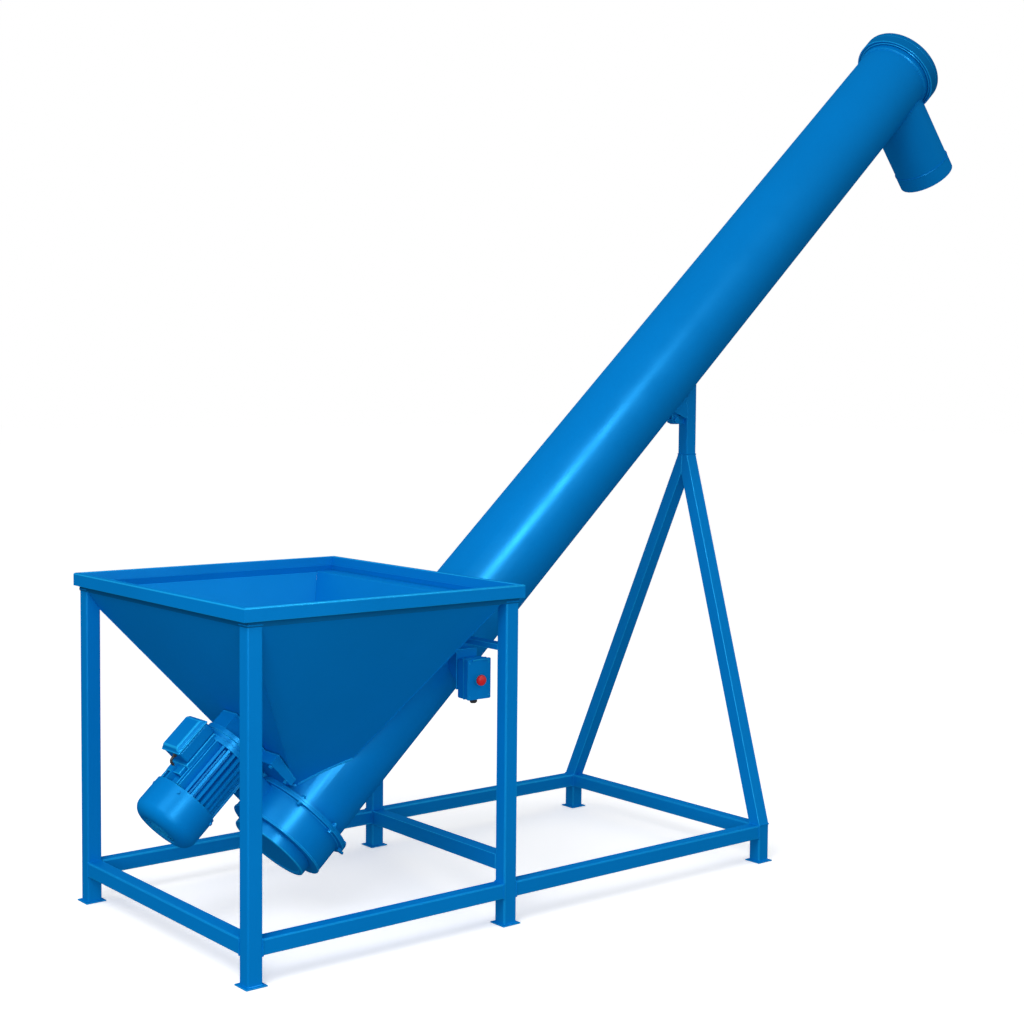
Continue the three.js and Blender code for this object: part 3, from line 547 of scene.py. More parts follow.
def dress(node, material, bevel=0.8, angle=28, segments=2):
    """Keeps a CAD node and gives it a material and softened edges; on blue nodes the bevel faces get the lighter
    enamel as a painted highlight.
    """
    obj = NODES[node]
    mesh = obj.data
    mesh.materials.clear()
    mesh.materials.append(material)
    # Blue nodes also carry the painted-highlight enamel, which the bevel below puts on its new faces
    if material.name.startswith("sky_blue"):
        mesh.materials.append(PAINTED_HIGHLIGHT_ENAMEL)
    for name in ("custom_normal", "sharp_edge", "sharp_face"):
        if name in mesh.attributes:
            mesh.attributes.remove(mesh.attributes[name])
    mesh.polygons.foreach_set("use_smooth", [True] * len(mesh.polygons))
    merge = obj.modifiers.new("merge", "WELD")
    merge.merge_threshold = 1e-5
    if bevel:
        flat = obj.modifiers.new("flat", "DECIMATE")
        flat.decimate_type = "DISSOLVE"
        flat.angle_limit = radians(0.4)
        soft = obj.modifiers.new("soft_edges", "BEVEL")
        soft.width = bevel * MM
        soft.segments = segments
        soft.limit_method = "ANGLE"
        soft.angle_limit = radians(angle)
        # painted highlight: the bevel faces take the lighter enamel
        soft.material = len(mesh.materials) - 1
        even_faces(obj)
    else:
        crisp = obj.modifiers.new("crisp_edges", "EDGE_SPLIT")
        crisp.split_angle = radians(angle)


def square_loop(low, high, axis, at):
    """Corners of a box section, on the plane where its local axis has the value at."""
    first, second = (i for i in range(3) if i != axis)
    loop = []
    for u, v in SQUARE:
        point = Vector()
        point[axis] = at
        point[first] = (low, high)[u][first]
        point[second] = (low, high)[v][second]
        loop.append(point)
    return loop


# ---- stand
POSTS = ("near_low_post", "near_middle_post", "near_end_foot",
         "far_low_post", "far_middle_post", "far_end_foot")
FOOT_PLATES = tuple(f"foot_plate_{side}_{place}"
                    for side in ("near", "far") for place in ("low", "middle", "end"))
RAILS_X = ("near_front_rail", "near_rear_rail", "far_front_rail", "far_rear_rail", "rim_outrigger")
RAILS_Y = ("low_end_rail", "tail_end_rail")
OTHER_BARS = ("cross_rail", "a_frame_leg_near", "a_frame_leg_far", "a_frame_post", "tube_brace")


def stand():
    for node in POSTS + RAILS_X + RAILS_Y + OTHER_BARS:
        dress(node, ENAMEL, bevel=1.8, angle=20, segments=3)
    for node in (*FOOT_PLATES, "tube_cradle"):
        dress(node, ENAMEL)


def stand_welds():
    bm = bmesh.new()
    for axis, rails in ((0, RAILS_X), (1, RAILS_Y)):
        for node in rails:
            low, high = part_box(node)
            for at in (low[axis], high[axis]):
                weld(bm, square_loop(low, high, axis, at), 1.9, closed=True)
    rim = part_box("hopper_rim")[0].z
    beads = [(post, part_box(plate)[1].z, 1.9) for plate, post in zip(FOOT_PLATES, POSTS)]
    beads += [(node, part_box(node)[1].z, 1.7) for node in ("near_end_foot", "far_end_foot")]
    beads += [(node, rim, 1.8) for node in ("near_low_post", "far_low_post", "near_middle_post")]
    for node, at, size in beads:
        weld(bm, square_loop(*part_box(node), 2, at), size, closed=True)
    low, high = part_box("a_frame_post")
    post_low = Vector((high.x - BAR * MM, low.y, low.z))
    weld(bm, square_loop(post_low, high, 2, low.z), 1.7, closed=True)
    piece("stand_welds", bm, WELD_ENAMEL)


# ---- hopper
WALLS = ("near", "far", "low", "high")


def wall_plane(side):
    """Point and downward normal of a hopper wall's outer face."""
    faces = NODES[f"hopper_wall_{side}"].data.polygons
    best = max((p for p in faces if p.normal.z < -0.2), key=lambda p: p.area)
    return Vector(best.center), Vector(best.normal)


def hopper_rim():
    """Folded channel round the hopper: inner leg, rounded top, outer apron, mitred at the corners."""
    low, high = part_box("hopper_rim")
    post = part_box("near_low_post")[0]
    out_x, out_y = post.x - low.x, post.y - low.y
    inner_low = Vector((post.x, post.y))
    inner_high = Vector((high.x - out_x, high.y - out_y))
    top, leg = high.z / MM, low.z / MM
    apron, bead = top - 30, top - 22
    sheet = 3
    nominal = 10                 # the outline's outer side, spread to the real overhang
    section = rounded([
        (-0.8, leg - 4, 0), (-sheet, bead - 1, 0.4), (-sheet - 0.6, bead, 0.4), (-0.6, top, 2.0),
        (nominal, top, 4.0), (nominal, apron, 0.8), (nominal - sheet, apron, 0.8),
        (nominal - sheet, top - sheet, 1.2), (0.6, top - sheet, 0.8), (0.6, leg - 4, 0)], 4)
    bm = bmesh.new()
    corners = []
    for sx, sy in SQUARE:
        ring = []
        for offset, z in section:
            grow_x, grow_y = (offset * MM if offset < 0 else offset / nominal * out for out in (out_x, out_y))
            x = inner_high.x + grow_x if sx else inner_low.x - grow_x
            y = inner_high.y + grow_y if sy else inner_low.y - grow_y
            ring.append(bm.verts.new((x, y, z * MM)))
        corners.append(ring)
    wrap(bm, corners)
    rim = piece("hopper_rim_folded", bm, ENAMEL, stands_for=("hopper_rim",), sharp=50)
    # Painted shade: the outward faces below the apron take the dark enamel, standing in for the apron's shadow
    rim.data.materials.append(PAINTED_SHADE_ENAMEL)
    middle = (inner_low + inner_high) / 2
    for face in rim.data.polygons:
        outward = face.normal.xy.dot(face.center.xy - middle) > 0
        lowest = min(rim.data.vertices[i].co.z for i in face.vertices)
        if outward and lowest < (apron - 1) * MM:
            face.material_index = 2


def hopper():
    hopper_rim()
    for side in WALLS:
        # painted light: the walls use the lighter sheet enamel
        dress(f"hopper_wall_{side}", HOPPER_PAINTED_LIGHT_ENAMEL, bevel=0.6)
    corner_seams()
    tube_seam()


def inside_tube(point, margin):
    local = TUBE.inverted() @ point
    return hypot(local.x, local.y) < TUBE_RADIUS * MM + margin and local.z > TUBE_LOW * MM


def meeting_line(first, second):
    """Point and direction of the line shared by two planes."""
    (p, n), (q, m) = first, second
    direction = n.cross(m).normalized()
    system = Matrix((n, m, direction))
    point = system.inverted() @ Vector((n.dot(p), m.dot(q), direction.dot(p)))
    return point, direction if direction.z > 0 else -direction


def corner_seams():
    """Weld runs down the four outside corners of the hopper, ending at the tube."""
    bm = bmesh.new()
    planes = {side: wall_plane(side) for side in WALLS}
    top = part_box("hopper_rim")[0].z
    for side in ("near", "far"):
        for end in ("low", "high"):
            point, direction = meeting_line(planes[side], planes[end])
            run = []
            for k in range(60):
                z = top - 0.020 - k * 0.008
                spot = point + direction * ((z - point.z) / direction.z)
                if inside_tube(spot, 0.002) or (end == "low" and abs(spot.y) < 0.084):
                    break
                run.append(spot)
            weld(bm, run, 1.5)
    piece("hopper_welds", bm, WELD_ENAMEL)


def tube_seam():
    """Fillet weld where the hopper walls meet the outside of the auger tube."""
    bm = bmesh.new()
    planes = [wall_plane(side) for side in WALLS]
    enter, leave = [], []
    for angle in circle(360):
        start = TUBE @ polar((TUBE_RADIUS + 0.6) * MM, angle)
        low, high = TUBE_LOW * MM, TUBE_TOP * MM
        for point, normal in planes:
            rate = normal.dot(ALONG)
            reach = (normal.dot(point) - normal.dot(start)) / rate
            if rate > 0:
                high = min(high, reach)
            else:
                low = max(low, reach)
        if high > low + 0.001:
            signed = angle if angle < pi else angle - 2 * pi
            enter.append((signed, start + ALONG * low, low))
            leave.append((signed, start + ALONG * high))
    enter.sort(key=lambda item: item[0])
    leave.sort(key=lambda item: -item[0])
    weld(bm, [spot for _, spot in leave], 3.2)
    loop = [spot for _, spot, s in enter if s > (TUBE_LOW + 6) * MM]
    split = max(range(1, len(loop)), key=lambda i: (loop[i] - loop[i - 1]).length)
    for part in (loop[:split], loop[split:]):
        if len(part) > 2:
            weld(bm, part, 3.2)
    # The weld is drawn in the lighter enamel as a painted highlight line along the crease
    piece("tube_fillet_weld", bm, PAINTED_HIGHLIGHT_ENAMEL)


# ---- auger tube and spout
def spout_frame():
    """Local Z down the spout, origin on the auger's axis, from the sleeve's mouth plane."""
    mouth = next(m for m in frame["record"]["mounts"] if m["name"] == "discharge_outlet")
    down = Vector(mouth["axis"]).normalized()
    return placed(Vector(mouth["pos_m"]), (-SIDE).cross(down), -SIDE, down)


def saddle(radius_tube, radius_pipe, matrix):
    """Closed curve where the slanted spout meets the outside of the auger tube."""
    inverse = TUBE.inverted()
    down = matrix.to_3x3() @ UP
    aim = inverse.to_3x3() @ down
    spots = []
    for angle in circle(180):
        rim = matrix @ polar(radius_pipe, angle)
        local = inverse @ rim
        a = aim.x ** 2 + aim.y ** 2
        b = 2 * (local.x * aim.x + local.y * aim.y)
        c = local.x ** 2 + local.y ** 2 - radius_tube ** 2
        t = (-b + sqrt(max(b * b - 4 * a * c, 0))) / (2 * a)
        spots.append(rim + down * t)
    return spots


def auger_tube():
    dress("auger_tube", ENAMEL, bevel=0)
    dress("discharge_spout", ENAMEL, bevel=0.7, angle=40)
    bm = bmesh.new()
    spout = spout_frame()
    weld(bm, saddle((TUBE_RADIUS + 0.5) * MM, (SPOUT_RADIUS + 0.3) * MM, spout), 2.4, closed=True)
    edge = (SPOUT_RADIUS + 1.0) * MM
    weld(bm, [spout @ polar(edge, a, -SPOUT_SLEEVE * MM) for a in circle(120)], 1.6, closed=True)
    for height, size in ((TUBE_TOP - 1.4, 2.6), (TUBE_LOW + 6.6, 2.4)):
        ring = [TUBE @ polar(TUBE_RADIUS * MM, a, height * MM) for a in circle(160)]
        weld(bm, ring, size, closed=True)
    piece("tube_welds", bm, WELD_ENAMEL)


def top_end():
    """Thick closing disc: welded ring with a bearing seat, and a bolted-on cover."""
    bm = bmesh.new()
    lathe(bm, [
        (SHAFT_HOLE, RING_LOW, 0), (TUBE_RADIUS + 7, RING_LOW, 0.6), (TUBE_RADIUS + 8.2, RING_LOW + 1.6, 0.8),
        (COVER_RADIUS - 4, RING_LOW + 1.6, 1.5), (COVER_RADIUS - 3, RING_LOW, 0.5),
        (COVER_RADIUS, RING_LOW, 1.6), (COVER_RADIUS, RING_TOP, 0.5), (BEARING_SEAT, RING_TOP, 0),
        (BEARING_SEAT, RING_LOW + 12, 0), (SHAFT_HOLE, RING_LOW + 12, 0)], segments=128)
    # painted shade: the turned ring uses the darker disc enamel
    piece("top_ring_turned", bm, DISC_PAINTED_SHADE_ENAMEL, stands_for=("top_flange",))
    bm = bmesh.new()
    collar = RING_LOW - 15
    lathe(bm, [
        (TUBE_RADIUS - 0.5, collar - 3, 0), (TUBE_RADIUS + 0.6, collar - 3, 0.4),
        (TUBE_RADIUS + 3.4, collar, 1.2), (TUBE_RADIUS + 3.4, RING_LOW - 1, 0.3),
        (TUBE_RADIUS - 0.5, RING_LOW - 1, 0)], segments=128)
    piece("top_collar", bm, ENAMEL)
    bm = bmesh.new()
    seat = COVER_LOW + 8
    lathe(bm, [
        (0, seat, 0), (40, seat, 0), (40, COVER_LOW, 0), (COVER_RADIUS, COVER_LOW, 0.5),
        (COVER_RADIUS, COVER_TOP - 2, 5), (COVER_RADIUS - 14, COVER_TOP, 3), (60, COVER_TOP, 1),
        (58, COVER_TOP - 1.4, 1), (0, COVER_TOP - 1.4, 0)], segments=128)
    for k in range(6):
        spot = polar(100 * MM, radians(30 + 60 * k), (COVER_TOP - 1.5) * MM)
        hex_fastener(bm, TUBE @ Matrix.Translation(spot), 10, 1.2)
    # painted shade: the cover uses the darker disc enamel
    piece("top_cover_turned", bm, DISC_PAINTED_SHADE_ENAMEL, stands_for=("top_cover",))
    dress("upper_bearing", ZINC, bevel=0.4)


# ---- screw
def screw():
    """Shaft with its flighting, and the weld along the flighting's root."""
    low, high = along_range("auger_screw")
    bm = bmesh.new()
    flight_high = high - TOP_JOURNAL - BARE_SHAFT
    turns = (flight_high - FLIGHT_START) / FLIGHT_PITCH
    steps = round(turns * 48)
    stations = [(2 * pi * turns * i / steps, FLIGHT_START + (flight_high - FLIGHT_START) * i / steps)
                for i in range(steps + 1)]
    worn = 0.8                   # the outer edge is this much thinner on each side
    radii = (SHAFT_RADIUS - 2, (SHAFT_RADIUS + FLIGHT_RADIUS) / 2, FLIGHT_RADIUS - worn, FLIGHT_RADIUS)
    rows = []
    for angle, base in stations:
        row = [(r, base + (worn if r == FLIGHT_RADIUS else 0)) for r in radii]
        row += [(r, base + FLIGHT_THICKNESS - (worn if r == FLIGHT_RADIUS else 0)) for r in reversed(radii)]
        rows.append([bm.verts.new(TUBE @ (polar(r, angle, z) * MM)) for r, z in row])
    skin(bm, rows)
    lathe(bm, [
        (0, low, 0), (JOURNAL_RADIUS, low, 1), (JOURNAL_RADIUS, 348, 0.5), (SHAFT_RADIUS, 350, 1),
        (SHAFT_RADIUS, TUBE_TOP - 8, 1), (JOURNAL_RADIUS, TUBE_TOP - 6, 0.5),
        (JOURNAL_RADIUS, high, 1), (0, high, 0)], segments=48)
    root = [TUBE @ (polar(SHAFT_RADIUS + 0.6, angle, base + FLIGHT_THICKNESS) * MM) for angle, base in stations]
    weld(bm, root, 2.6, sides=5)
    piece("auger_screw_rolled", bm, FLIGHT_STEEL, "screw", ("auger_screw",))


# ---- gear housing
def gear_drum():
    bm = bmesh.new()
    face = DRUM_TOP - 5.7        # underside of the flange
    lathe(bm, [
        (62, DRUM_LOW, 0), (DRUM_RADIUS + 1.5, DRUM_LOW, 1.4), (DRUM_RADIUS + 1.5, DRUM_LOW + 4, 1.2),
        (DRUM_RADIUS, DRUM_LOW + 5.2, 0.8), (DRUM_RADIUS, face, 1.6), (FLANGE_RADIUS, face, 1.2),
        (FLANGE_RADIUS, DRUM_TOP, 0.8), (SHAFT_HOLE, DRUM_TOP, 0), (SHAFT_HOLE, face, 0),
        (DRUM_RADIUS - 3, face, 0), (DRUM_RADIUS - 3, DRUM_LOW + 4, 0), (62, DRUM_LOW + 4, 0)], segments=128)
    block(bm, (112, -31, 272), (169.6, 31, DRUM_TOP - 5.9), 6, TUBE)
    piece("gear_drum_housing", bm, ENAMEL, stands_for=("gear_drum",))
    bm = bmesh.new()
    lathe(bm, [
        (0, CAP_LOW + 2.2, 0), (CAP_RADIUS - 12, CAP_LOW + 2.2, 2), (CAP_RADIUS - 9, CAP_LOW, 1.5),
        (CAP_RADIUS, CAP_LOW, 3), (CAP_RADIUS, CAP_TOP, 0.5), (BEARING_SEAT, CAP_TOP, 0),
        (BEARING_SEAT, CAP_LOW + 7, 0), (0, CAP_LOW + 7, 0)], segments=128)
    piece("drum_end_cap_pressed", bm, ENAMEL, stands_for=("drum_end_cap",))
    dress("lower_bearing", ZINC, bevel=0.4)
    flange_bolts(face)
    lug()


def flange_bolts(face):
    """Eight bolts through the flange: heads on its underside, nuts with the bolts' ends on top."""
    bm = bmesh.new()
    for height, flip, stub in ((face, pi, 0), (TUBE_LOW + 5.4, 0, 3)):
        for k in range(8):
            angle = radians(8 + 45 * k)
            spot = Matrix.Translation(polar(FLANGE_RADIUS - 7.6, angle, height) * MM)
            turned = Matrix.Rotation(flip, 4, "X") @ Matrix.Rotation(angle, 4, "Z")
            hex_fastener(bm, TUBE @ spot @ turned, 10, 5, 6.4, stub)
    piece("drum_flange_bolts", bm, ENAMEL)


def lug():
    """Small lifting ear with a hole, standing out from the flange on the underside."""
    bm = bmesh.new()
    turn = TUBE @ Matrix.Rotation(radians(160), 4, "Z")
    half = [(-4, 11, 1), (4, 9, 4), (9.5, 3, 4)]
    outline = rounded([(FLANGE_RADIUS + x, -y, r) for x, y, r in half]
                      + [(FLANGE_RADIUS + x, y, r) for x, y, r in half[::-1]], 4)
    hole = round_outline(FLANGE_RADIUS + 4.6, 0, 2.4, 16)
    plate_with_hole(bm, outline, hole, DRUM_TOP - 4.6, DRUM_TOP - 0.4, turn)
    piece("drum_flange_ear", bm, ENAMEL)


def plate_with_hole(bm, outline, hole, z0, z1, matrix):
    """Flat plate between two heights with one hole through it."""
    layers = []
    for z in (z0, z1):
        rings = [[bm.verts.new((x, y, z)) for x, y in points] for points in (outline, hole)]
        edges = [bm.edges.new(pair) for ring in rings for pair in zip(ring, ring[1:] + ring[:1])]
        bmesh.ops.triangle_fill(bm, use_beauty=True, use_dissolve=False, edges=edges)
        layers.append(rings)
    for rings in zip(*layers):
        skin(bm, rings, ends=False)
    settle([v for rings in layers for ring in rings for v in ring], matrix)


def drive_casing():
    dress("drive_casing", ENAMEL, bevel=1.4, angle=35, segments=3)
    dress("casing_cover", ENAMEL, angle=40)
    spots = [p / MM for p in local_points("drive_casing")]
    wing = max(p.y for p in spots) - 9
    step = max(p.x for p in spots if p.y > wing) - 9
    base = min(p.z for p in spots)
    bm = bmesh.new()
    for away in (step, step - 54):
        for side in (-wing, wing):
            hex_fastener(bm, shifted(TUBE, away, side, base) @ Matrix.Rotation(pi, 4, "X"), 8, 4, 5.2)
    piece("casing_bolts", bm, ENAMEL)
    lay_cap(base)
    dress("idler_gear", BRONZE, bevel=0)
    for node in ("lay_gear", "lay_shaft", "output_wheel", "motor_pinion"):
        dress(node, MACHINED, bevel=0)


def lay_cap(base):
    """Cap over the lay shaft's end, from the casing's face at height base."""
    spots = [p / MM for p in local_points("lay_shaft")]
    end = min(p.z for p in spots)
    low, high = extent([p for p in spots if p.z < end + 0.5])
    girth = (high[0] - low[0]) / 2
    bm = bmesh.new()
    lathe(bm, [
        (0, end - 2.5, 0), (girth + 3, end - 2.5, 1.2), (girth + 3, base + 0.5, 0), (girth + 1, base + 0.5, 0),
        (girth + 1, end - 0.8, 0), (0, end - 0.8, 0)], shifted(TUBE, (low[0] + high[0]) / 2, 0, 0), 64)
    piece("lay_bearing_cap", bm, ENAMEL)


# ---- motor
def fin_outline(tip, root, angles, width_tip, width_root):
    """Cross-section of a finned housing with a fin at each angle, in degrees."""
    points = []
    for degrees in angles:
        centre = radians(degrees)
        for radius, width in ((root, -width_root), (tip, -width_tip), (tip, width_tip), (root, width_root)):
            angle = centre + width / 2 / radius
            points.append((radius * cos(angle), radius * sin(angle)))
    return points


def stator():
    """Finned cast housing; two raised edges run along each side of the terminal box's seat."""
    bm = bmesh.new()
    angles = [0] + [52 + 12.19 * k for k in range(22)]
    prism(bm, fin_outline(FIN_RADIUS, 58, angles, 6.0, 8.4), STATOR_LOW, STATOR_TOP - 5, MOTOR, edge=1.2)
    rim = FIN_RADIUS + 2.4
    lathe(bm, [(MOTOR_BORE, STATOR_TOP - 11, 0), (rim, STATOR_TOP - 11, 1), (rim, STATOR_TOP, 1),
               (MOTOR_BORE, STATOR_TOP, 0)], MOTOR)
    pad = FIN_RADIUS + 0.4
    block(bm, (40, -30, 205), (pad - 3, 30, STATOR_TOP - 4), 2, MOTOR)
    block(bm, (50, -38, 226), (pad, 38, STATOR_TOP - 1), 2.5, MOTOR)
    for side in (-1, 1):
        for inner, outer, top in ((34.0, 38.2, 64.5), (41.2, 45.2, 62.0)):
            near, far = sorted((side * inner, side * outer))
            block(bm, (40, near, 186), (top, far, STATOR_TOP - 3), 1.1, MOTOR)
    piece("motor_stator_finned", bm, CAST_ENAMEL, stands_for=("motor_stator",))


def motor_face():
    bm = bmesh.new()
    rim = max(p.xy.length for p in local_points("motor_flange", MOTOR)) / MM
    step = FACE_TOP - 11.7
    lathe(bm, [(MOTOR_BORE, FACE_LOW, 0), (rim - 4, FACE_LOW, 1.5), (rim - 4, step, 1.5), (rim, step, 1.5),
               (rim, FACE_TOP, 1.0), (MOTOR_BORE, FACE_TOP, 0)], MOTOR)
    piece("motor_flange_turned", bm, CAST_ENAMEL, stands_for=("motor_flange",))


def cowl():
    """Pressed fan cowl with a domed shoulder and a ring-and-spoke air grille."""
    bm = bmesh.new()
    low, high = COWL_LOW, COWL_TOP
    eye = 47
    reach = COWL_RADIUS - eye
    sheet = 2.2
    quarter = [radians(9 * k) for k in range(11)]
    dome = [(eye + reach * sin(a), low + 28 * (1 - cos(a)), 0) for a in quarter]
    under = [(eye + (reach - sheet) * sin(a), low + 2.4 + 26 * (1 - cos(a)), 0) for a in quarter]
    lathe(bm, [(eye - 4, low + 1.8, 0.6)] + dome + [(COWL_RADIUS, high, 0.8), (COWL_RADIUS - sheet, high, 0.6)]
          + under[::-1] + [(eye - 4, low + 4.2, 0.6)], MOTOR, 128)
    for radius in (13, 20, 27, 34, 41):
        corners = ((-2.4, 2.0), (2.4, 2.0), (2.4, 3.8), (-2.4, 3.8))
        lathe(bm, [(radius + x, low + z, 0.6) for x, z in corners], MOTOR, steps=2)
    lathe(bm, [(0, low + 1.8, 0), (7.6, low + 1.8, 1), (7.6, low + 4.0, 0.4), (0, low + 4.0, 0)], MOTOR, 48, 2)
    for k in range(8):
        turn = MOTOR @ Matrix.Rotation(radians(45 * k), 4, "Z")
        block(bm, (6, -1.5, low + 2.2), (44, 1.5, low + 4.4), 0.5, turn, segments=2)
    piece("motor_cowl_pressed", bm, CAST_ENAMEL, stands_for=("motor_cowl",))
    bm = bmesh.new()
    for k in range(4):
        angle = radians(45 + 90 * k)
        outward = MOTOR.to_3x3() @ polar(1, angle)
        spot = MOTOR @ (polar(COWL_RADIUS, angle, high - 12) * MM)
        hex_fastener(bm, placed(spot, outward.cross(ALONG), ALONG, outward), 7, 2.6, 4.4)
    piece("cowl_screws", bm, CAST_ENAMEL)


def terminal_box():
    low, high = extent([p / MM for p in local_points("terminal_box", MOTOR)])
    bm = bmesh.new()
    block(bm, low, high, 5, MOTOR, segments=4)
    block(bm, (low[0] - 0.2, low[1] + 6, low[2] + 8), (low[0] + 5, high[1] - 6, high[2] - 8), 1.5, MOTOR)
    piece("terminal_box_cast", bm, CAST_ENAMEL, stands_for=("terminal_box",))
    low, high = extent([p / MM for p in local_points("terminal_lid", MOTOR)])
    bm = bmesh.new()
    block(bm, low, (low[0] + 4, high[1], high[2]), 1.6, MOTOR)
    block(bm, (low[0] + 3, low[1] + 1, low[2] + 1), (high[0], high[1] - 1, high[2] - 1), 3.2, MOTOR,
          segments=4, inset=7.5)
    for y in (low[1] + 6, high[1] - 6):
        for z in (low[2] + 6, high[2] - 6):
            spot = MOTOR @ (Vector((low[0] + 4, y, z)) * MM)
            hex_fastener(bm, placed(spot, ALONG, AWAY.cross(ALONG), AWAY), 6, 3)
    piece("terminal_lid_cast", bm, CAST_ENAMEL, stands_for=("terminal_lid",))


def gland_elbow():
    """Elbow cable gland of the terminal box: locknut, ribbed elbow, black sealing nut."""
    low, high = along_range("terminal_gland", MOTOR)
    spots = [p / MM for p in local_points("terminal_gland", MOTOR)]
    away = max(p.x for p in spots) - 4.0
    side = sum(p.y for p in spots) / len(spots)
    bm = bmesh.new()
    path = [(away, high), (away, high - 9), (away - 0.4, high - 13), (away - 2, high - 16),
            (away - 5, low + 4.2), (away - 13, low + 3.8)]
    points = resampled([MOTOR @ (Vector((x, side, z)) * MM) for x, z in path], 0.0012)
    tube_along(bm, points, 0.0030, 16, swell=lambda i: 1 + 0.06 * sin(i * 1.7))
    hex_fastener(bm, shifted(MOTOR, away, side, high - 4.0), 9, 3.6)
    tip = MOTOR @ (Vector((away - 9.6, side, low + 3.8)) * MM)
    hex_fastener(bm, placed(tip, SIDE, ALONG.cross(SIDE) * -1, -AWAY), 8.4, 4.4)
    piece("terminal_gland_elbow", bm, BLACK, stands_for=("terminal_gland",))


def motor():
    stator()
    motor_face()
    cowl()
    terminal_box()
    gland_elbow()
    dress("motor_shaft", MACHINED, bevel=0.4)
    dress("motor_fan", BLACK, bevel=0.4)


# ---- A-frame bolt
def pivot_bolt():
    """Bolt through the tube's brace and the A-frame: head near, nut far."""
    low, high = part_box("pivot_bolt")
    middle = (low + high) / 2
    width = (high.x - low.x) / MM
    grip = 0.0097                # metres from the middle to the washers
    bm = bmesh.new()
    near = facing_near(Vector((middle.x, -grip, middle.z)))
    hex_fastener(bm, near, width * 0.94, 6.5, width * 0.56)
    far = placed(Vector((middle.x, grip, middle.z)), LENGTHWISE, -UP, -SIDE)
    hex_fastener(bm, far, width * 0.94, 6.5, width * 0.56, stub=4)
    shank = facing_near(Vector((middle.x, 0, middle.z)))
    lathe(bm, [(0, -10, 0), (6, -10, 0), (6, 10, 0), (0, 10, 0)], shank, 32, 1)
    piece("pivot_bolt_set", bm, ENAMEL, stands_for=("pivot_bolt",))


# ---- control box
def control_box():
    low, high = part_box("control_box")
    bm = bmesh.new()
    block(bm, low, high, 0.0045, segments=4, scale=1)
    proud = 0.0006               # of the joint line round the box
    block(bm, (low.x - proud, low.y + 0.012, low.z - proud), (high.x + proud, low.y + 0.015, high.z + proud),
          0.0008, segments=2, scale=1)
    # painted light: the box body uses the lighter box enamel
    piece("control_box_moulded", bm, BOX_PAINTED_LIGHT_ENAMEL, stands_for=("control_box",))
    control_lid()
    stop_button()
    low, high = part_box("control_gland")
    centre = (low + high) / 2
    bm = bmesh.new()
    upright = Matrix.Translation((centre.x, centre.y, low.z))
    lathe(bm, [(0, 0, 0), (5.6, 0, 1.2), (7.6, 1.4, 1), (8.0, 6.2, 0.6), (8.8, 6.4, 0.5), (8.8, 8.6, 0.5),
               (6.4, 8.6, 0), (6.4, 12.6, 0), (0, 12.6, 0)], upright, 40, 3)
    prism(bm, round_outline(0, 0, 9.9, 6), 3.2, 8.4, upright, edge=0.7)
    piece("control_gland_turned", bm, BLACK, stands_for=("control_gland",))
    dress("control_bracket", ENAMEL)


def button_spot():
    low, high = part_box("stop_button")
    return (low + high) / 2


def control_lid():
    """Front lid with a raised border, a folded rain lip, a button collar and four screws."""
    low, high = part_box("control_lid")
    body_low, body_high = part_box("control_box")
    face = body_low.y
    front = face - LID_DEPTH
    spot = button_spot()
    bm = bmesh.new()
    left, right = low.x / MM, high.x / MM
    bottom, top = body_low.z / MM - 1, body_high.z / MM + 1
    outline = rounded([(left, bottom, 4), (right, bottom, 4), (right, top, 4), (left, top, 4)], 5)
    hole = round_outline(spot.x / MM, spot.z / MM, 5.9, 32)
    plate_with_hole(bm, outline, hole, -face / MM + 0.3, -front / MM, facing_near(Vector()))
    width = 0.0014
    for x0, x1 in ((low.x, low.x + width), (high.x - width, high.x)):
        block(bm, (x0 + 0.0004, front - 0.0009, body_low.z), (x1 - 0.0004, front + 0.001, body_high.z),
              0.0004, scale=1)
    rain_lip(bm, low.x + 0.013, high.x - 0.008, front, body_high.z + 0.0008)
    collar = facing_near(Vector((spot.x, front, spot.z)))
    lathe(bm, [(6.2, -1, 0), (12.6, -1, 0), (12.6, 0.4, 0.2), (6.2, 0.4, 0.2)], collar, 48, 3)
    for x in (low.x + 0.0065, high.x - 0.0065):
        for z in (body_low.z + 0.0065, body_high.z - 0.009):
            lathe(bm, [(0, -0.5, 0), (2.6, -0.5, 0), (2.6, 0.6, 0.5), (0.5, 1.3, 0.6), (0.5, 0.5, 0.1),
                       (0, 0.5, 0)], facing_near(Vector((x, front, z))), 20, 2)
    # painted light: the lid uses the lighter box enamel
    piece("control_lid_moulded", bm, BOX_PAINTED_LIGHT_ENAMEL, stands_for=("control_lid",), sharp=45)


def rain_lip(bm, x0, x1, front, top):
    """Folded lip over the lid's upper edge, arched across its width."""
    steps = 18
    section = rounded([(0.6, -4.0, 0.3), (-3.4, -3.4, 1.0), (-3.9, -0.4, 1.4), (0.6, 0.4, 0.4)], 3)
    arch = 0.0016
    rings = []
    for i in range(steps + 1):
        t = i / steps
        rise = arch * sin(pi * t)
        rings.append([bm.verts.new((x0 + (x1 - x0) * t, front + y * MM, top + z * MM + rise - arch))
                      for y, z in section])
    skin(bm, rings)


